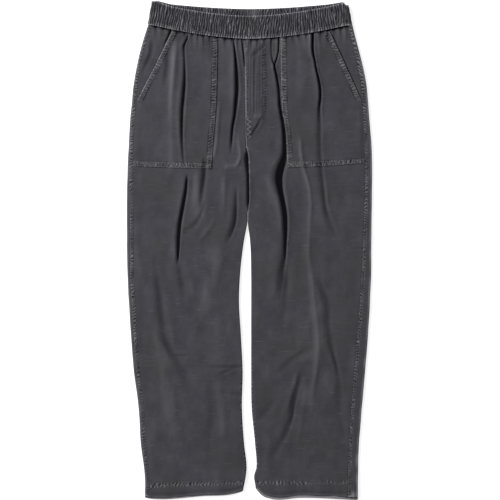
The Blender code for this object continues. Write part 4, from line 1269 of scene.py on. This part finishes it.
def band_points(half):
    """Rows of points on the outer face of half a waistband, and their marks."""
    steps = np.linspace(-1, 1, half.gathers * COLUMNS_EACH)
    radius = BAND_LOFT / 2 - SEAM_GAP / 2
    turned = np.radians(np.linspace(90, 0, END_STEPS, endpoint=False))
    across = np.concatenate([-np.ones(END_STEPS), steps, np.ones(END_STEPS)])
    turn = np.concatenate([-turned, np.zeros(len(steps)), turned[::-1]])
    up = np.linspace(0, 1, BAND_ROWS)[:, None]
    reach = BAND_SIDE - BAND_TAPER * up - radius
    x = BAND_MIDDLE + across * reach + radius * np.sin(turn)
    crest = gathers(across + 0.035 * np.sin(turn), up * np.ones_like(x), half.gathers, half.seed)
    foot = waist_curve(x, half.foot_middle, WAIST_SIDE) + SEAM_GAP
    top = waist_curve(x, half.top_middle, WAIST_SIDE + BAND_HEIGHT)
    rise, drop = np.where(across > 0, 0.0016, 0.0038), np.where(across > 0, 0.0085, 0.0015)
    top = top + rise * ramp(np.abs(across), 0.80, 0.98) - drop * ramp(np.abs(across), 0.950, 1.010) ** 2
    tall = top - foot
    sewn = bump(up * tall - STITCHES_UP, 0.0017)
    rim = bump(up * tall, 0.0022) + bump((1 - up) * tall, 0.0022)
    swell = GATHER_DEPTH * crest * (1 - 0.55 * sewn) * (1 - 0.45 * rim)
    plain = np.zeros_like(x)
    if not half.is_front:  # a plain tab inside the back's middle, where the elastic is joined
        plain = bump(x - 0.0070, 0.014) * bump((up - 0.80) * tall, 0.009)
        swell = swell * (1 - 0.8 * plain) + 0.0010 * plain
    body = -0.0004 * rim - 0.0005 * sewn
    marks = band_marks(half, across, up, x, tall, crest, rim, sewn, plain)
    middle = BAND_LOFT / 2
    if half.is_front:
        level = BAND_LOFT + 0.0003 + swell + body
        x = x + (swell + body) * np.sin(turn)
    else:
        level = BAND_WALL + 0.0007 + swell + body
    z = middle + (level - middle) * np.cos(turn)
    z = np.where(np.abs(turn) > 1.5, middle + (SEAM_GAP if half.is_front else -SEAM_GAP), z)
    flutter = 0.0006 * (crest - 0.5) * rim * np.sign(up - 0.5)
    return np.stack([x, foot + tall * up + flutter, z], -1), marks


bands = {}
for name, half in BAND_HALVES.items():
    bands[name] = cloth(name + "_gathered", *band_points(half), gathered_twill, BAND_WALL,
                        stands_for=name)

# %% [markdown]
# The side seams are felled: the two edges are folded into each other and sewn down with two
# rows of stitches. The seam pulls the cloth into a rope of small slanting puckers, whose tops
# rub pale and carry painted highlight, with painted shade between them. It is a raised strip
# of its own, laid on the back's wrapped edge.

# %% Felled side seams
RIDGE_WIDTH = 0.0085
RIDGE_HEIGHT = 0.0009
RIDGE_INSET = 0.0016  # the felled seam lies a little over the front's edge
RIDGE_PITCH = 0.0060
RIDGE_ROW_STEP = 0.0011
RIDGE_COLUMNS = 11
RIDGE_WALL = 0.0005


def strip_level(leg, x, height):
    """z of the back's wrapped edge, seen from above."""
    radius = outline("loft", height) / 2
    inward = np.clip(radius - np.abs(outline(leg + "_outer", height) - x), 0.0, radius)
    return radius + np.sqrt(radius**2 - inward**2)


def seam_points(leg):
    """Rows of points on a felled seam's puckered strip, and their marks."""
    side = SIDES[leg]
    height = rows_between(0.003, WAIST_FRONT - 0.001, RIDGE_ROW_STEP)
    seam = side_seam(leg, height) - side * RIDGE_INSET
    room = side * (outline(leg + "_outer", height) - seam) - 0.0007
    wide = np.minimum(RIDGE_WIDTH, room)[:, None]
    share = np.linspace(0, 1, RIDGE_COLUMNS)
    x = seam[:, None] + side * wide * share
    rows = np.broadcast_to(height[:, None], x.shape)
    wobble = 4.0 * hills(rows, x, 0.021, 0.006, 71) + 2.8 * hills(rows, x, 0.0065, 0.004, 72)
    pull = 0.5 + 0.5 * np.cos(2 * np.pi * rows / RIDGE_PITCH + 3.0 * share + wobble)
    dome = np.sin(np.pi * share) ** 0.6
    sewn = bump(share - 0.18, 0.10) + bump(share - 0.82, 0.10)
    uneven = unit(0.55 + 0.6 * hills(rows, x, 0.014, 0.004, 73))
    z = strip_level(leg, x, rows) + RIDGE_HEIGHT * dome * (0.35 + 0.65 * pull)
    z = z - 0.0004 * sewn * (1 - pull) - 0.0002
    x = x + side * 0.0006 * (pull - 0.5) * share * np.minimum(1, wide / 0.006)
    near_hem = 1 - ramp(rows, 0.02, 0.16)
    low_down = 1 - ramp(rows, 0.56, 0.76)
    gaps = unit(0.62 - 0.5 * hills(rows, x, 0.016, 0.005, 74))
    # wear and painted highlight on the puckers' tops; painted shade between them and along the strip's
    # inner edge
    worn_and_highlit = 1.10 * uneven * pull**2 * (0.5 + 0.5 * dome) * (1 - 0.30 * near_hem - 0.20 * low_down)
    dark = 0.90 * gaps * (1 - pull) ** 2 + 0.45 * bump(share, 0.08)
    up = bent_height(leg, x, rows, z / outline("loft", rows))
    return np.stack([x, up, z], -1), {"crease": dark, "wear": worn_and_highlit}


seam_ridges = {}
for leg in SIDES:
    seam_ridges[leg] = cloth("side_seam_" + leg, *seam_points(leg), washed_twill, RIDGE_WALL)

# %% [markdown]
# The sewing thread is spun polyester, garment-washed with the cloth but a little paler. Each
# stitch is a short rounded thread that dips into the cloth at both ends. Its place is found
# by dropping a line onto the finished piece, so the rows follow every crease, and all the
# stitches of one piece are joined in one mesh.

# %% Thread
STITCH = 0.0034
STITCH_SPACE = 0.0009  # between two stitches
THREAD_RADIUS = 0.00034
THREAD_SIDES = 5
PLY = 0.0006  # length of a twist of the thread; drawn about as coarse as it is

spun_thread = bpy.data.materials.new("spun_polyester_thread")
spun_thread.use_nodes = True
tree = spun_thread.node_tree
shader = tree.nodes["Principled BSDF"]
shader.inputs["Roughness"].default_value = 0.6
shader.inputs["IOR"].default_value = 1.5
shader.inputs["Sheen Weight"].default_value = 0.1
place = add_node(tree, "ShaderNodeTexCoord").outputs["Object"]
twist = add_node(tree, "ShaderNodeTexWave", {"wave_type": "BANDS", "bands_direction": "DIAGONAL"},
                 {"Scale": WAVE_WIDTH / PLY, "Distortion": 0.6}, {"Vector": place})
shed = add_node(tree, "ShaderNodeTexNoise", None, {"Scale": 60.0, "Detail": 2.0}, {"Vector": place})
tone = add_node(tree, "ShaderNodeMix", {"data_type": "RGBA"},
                {6: linear("#605F64"), 7: linear("#87868B")}, {0: shed.outputs["Fac"]})
tree.links.new(tone.outputs[2], shader.inputs["Base Color"])
raised = add_node(tree, "ShaderNodeBump", None, {"Strength": 0.6, "Distance": 0.0001},
                  {"Height": twist.outputs["Fac"]})
tree.links.new(raised.outputs["Normal"], shader.inputs["Normal"])
print("thread of", THREAD_RADIUS, "m radius")

# %% [markdown]
# A stitch is a short tube of four rings. The outer two are small and lie below the cloth's
# face, so the thread seems to go in and come out. A route is walked in even steps, and a
# stitch that would span a step in the cloth is left out.

# %% Stitches
STITCH_RINGS = (  # share of the length, then rise and size in thread radii
    (0.0, -0.9, 0.6), (0.2, 0.35, 1.0), (0.8, 0.35, 1.0), (1.0, -0.9, 0.6))
AROUND = np.linspace(0, 2 * np.pi, THREAD_SIDES, endpoint=False)
LONGEST = 1.6 * STITCH
RAY_START = 0.05  # above all of the cloth


def even_steps(route, step):
    """Points along a route, this far apart."""
    lengths = np.concatenate([[0], np.cumsum(np.linalg.norm(np.diff(route, axis=0), axis=1))])
    count = max(2, int(lengths[-1] / step) + 1)
    at = np.linspace(0, lengths[-1], count)
    return np.stack([np.interp(at, lengths, route[:, k]) for k in range(2)], -1)


def dropped(piece, spot):
    """Where a line from above meets a piece, or None."""
    hit, place, _normal, _face = piece.ray_cast((spot[0], spot[1], RAY_START), (0, 0, -1))
    return np.array(place) if hit else None


def stitch(a, b, first):
    """Points and faces of one stitch from a to b; its first point has this number."""
    along = (b - a) / np.linalg.norm(b - a)
    across = np.cross(along, (0.0, 0.0, 1.0))
    across /= np.linalg.norm(across)
    above = np.cross(across, along)
    points, faces = [], []
    for share, rise, size in STITCH_RINGS:
        middle = a + (b - a) * share + above * rise * THREAD_RADIUS
        for turn in AROUND:
            spoke = np.cos(turn) * across + np.sin(turn) * above
            points.append(tuple(middle + spoke * THREAD_RADIUS * size))
    rings = first + np.arange(len(points)).reshape(len(STITCH_RINGS), THREAD_SIDES)
    for low, high in zip(rings.tolist(), rings[1:].tolist()):
        for k in range(THREAD_SIDES):
            after = (k + 1) % THREAD_SIDES
            faces.append((low[k], low[after], high[after], high[k]))
    faces.append(rings[0].tolist()[::-1])
    faces.append(rings[-1].tolist())
    return points, faces


def sew(name, rows):
    """Rows of stitches, each a (piece, route) pair, as one joined mesh."""
    points, faces, count = [], [], 0
    for piece, route in rows:
        spots = even_steps(np.asarray(route) - MIDDLE[:2], STITCH)
        for start, end in zip(spots, spots[1:]):
            back_off = (end - start) * STITCH_SPACE / 2 / STITCH
            a, b = dropped(piece, start + back_off), dropped(piece, end - back_off)
            if a is None or b is None or np.linalg.norm(b - a) > LONGEST:
                continue
            more_points, more_faces = stitch(a, b, len(points))
            points += more_points
            faces += more_faces
            count += 1
    mesh = bpy.data.meshes.new(name)
    mesh.from_pydata(points, [], faces)
    mesh.shade_smooth()
    mesh.materials.append(spun_thread)
    made = placed(name, mesh)
    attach(made, "root")
    print(name, count, "stitches")


print("stitches of", STITCH, "m")

# %% [markdown]
# Every band of the pockets is sewn with two rows, just inside each of its edges, and so are
# the felled seams. The fly has a row beside the centre seam, short ones along the J, and a
# zigzag that swings from side to side. One row runs along each hem and one along the
# waistband's lower edge.

# %% Sewing


def level_row(leg, x, height):
    """A stitch row on a front at these places, bent to the waist and the hem."""
    x, height = np.broadcast_arrays(x, height)
    return np.stack([x, bent_height(leg, x, height, 1.0)], -1)


MOUTH_LEAN = 1.14  # the mouth's slant makes a level inset longer
ROUTE_STEP = 0.004
SEAM_ROWS = (0.2, 0.82)  # as shares of the felled seam's width
HEM_ROW_DROP = 0.0008
FLY_ROWS = {"centre": 0.0024, "inner": 0.0250, "outer": 0.0322}

bpy.context.view_layer.update()
for leg in SIDES:
    side = SIDES[leg]
    height = rows_between(POCKET_FOOT + 0.0015, WAIST_FRONT - 0.004, ROUTE_STEP)
    inner, mouth = pocket_edges(leg, height)
    rows = []
    for inset in (STITCH_IN, INNER_BAND - STITCH_IN):
        rows.append(level_row(leg, inner + side * inset, height))
    for inset in (STITCH_IN, MOUTH_BAND - STITCH_IN):
        in_mouth = level_row(leg, mouth - side * inset * MOUTH_LEAN, height)
        rows.append(in_mouth[height > MOUTH_END])
    for inset in (STITCH_IN, FOOT_BAND - STITCH_IN):
        x = np.linspace(inner[0] + side * 0.001, mouth[0] - side * 0.001, 60)
        rows.append(level_row(leg, x, POCKET_FOOT + inset))
    sew("pocket_stitching_" + leg, [(pockets[leg], row) for row in rows])

    height = rows_between(0.004, WAIST_FRONT - 0.003, ROUTE_STEP)
    seam = side_seam(leg, height)
    wide = np.minimum(RIDGE_WIDTH, side * (outline(leg + "_outer", height) - seam) - 0.001)
    start = seam - side * RIDGE_INSET
    rows = [(seam_ridges[leg], level_row(leg, start + side * wide * share, height))
            for share in SEAM_ROWS]
    sew("side_seam_stitching_" + leg, rows)

    x = np.linspace(inner_edge(leg, 0.0) + side * 0.004, side_seam(leg, 0.0) - side * 0.002, 80)
    hem_row = np.stack([x, hem_line(leg, x) - HEM_ROW_DROP], -1)
    sew("hem_stitching_" + leg, [(fronts[leg], hem_row)])

height = rows_between(0.790, WAIST_FRONT - 0.004, 0.003)
upper, lower = height[height > 0.820], height[(height > 0.845) & (height < 0.885)]
zigzag = np.arange(TACK_FOOT, 0.782, 0.0042)
tack_x = inner_edge("left", zigzag) + np.where(np.arange(len(zigzag)) % 2, 0.0018, 0.0095)
fly_rows = [
    level_row("left", inner_edge("left", height) + FLY_ROWS["centre"], height),
    level_row("left", FLY_ROWS["inner"], upper),
    level_row("left", FLY_ROWS["outer"], lower),
    level_row("left", tack_x, zigzag),
    level_row("left", np.linspace(0.0225, 0.0334, 6), 0.7985),
]
sew("fly_stitching", [(fly, row) for row in fly_rows])

x = np.linspace(-0.196, 0.198, 120)
foot = waist_curve(x, WAIST_FRONT, WAIST_SIDE) + STITCHES_UP
sew("waistband_stitching", [(bands["waistband_front"], np.stack([x, foot], -1))])

# %% [markdown]
# A cut size is a sheet with the size that a cloth piece was cut to, which is what lies in
# sight of it, without the seam allowances; this record holds the piece, its width, length and
# area, what holds it, what it rests on and the pieces it goes with. The waistband's cut is
# over a third longer than the band, because the elastic draws it together.

# %% Cut sizes
Cut = namedtuple("Cut", "piece width length area held rests_on with_pieces")
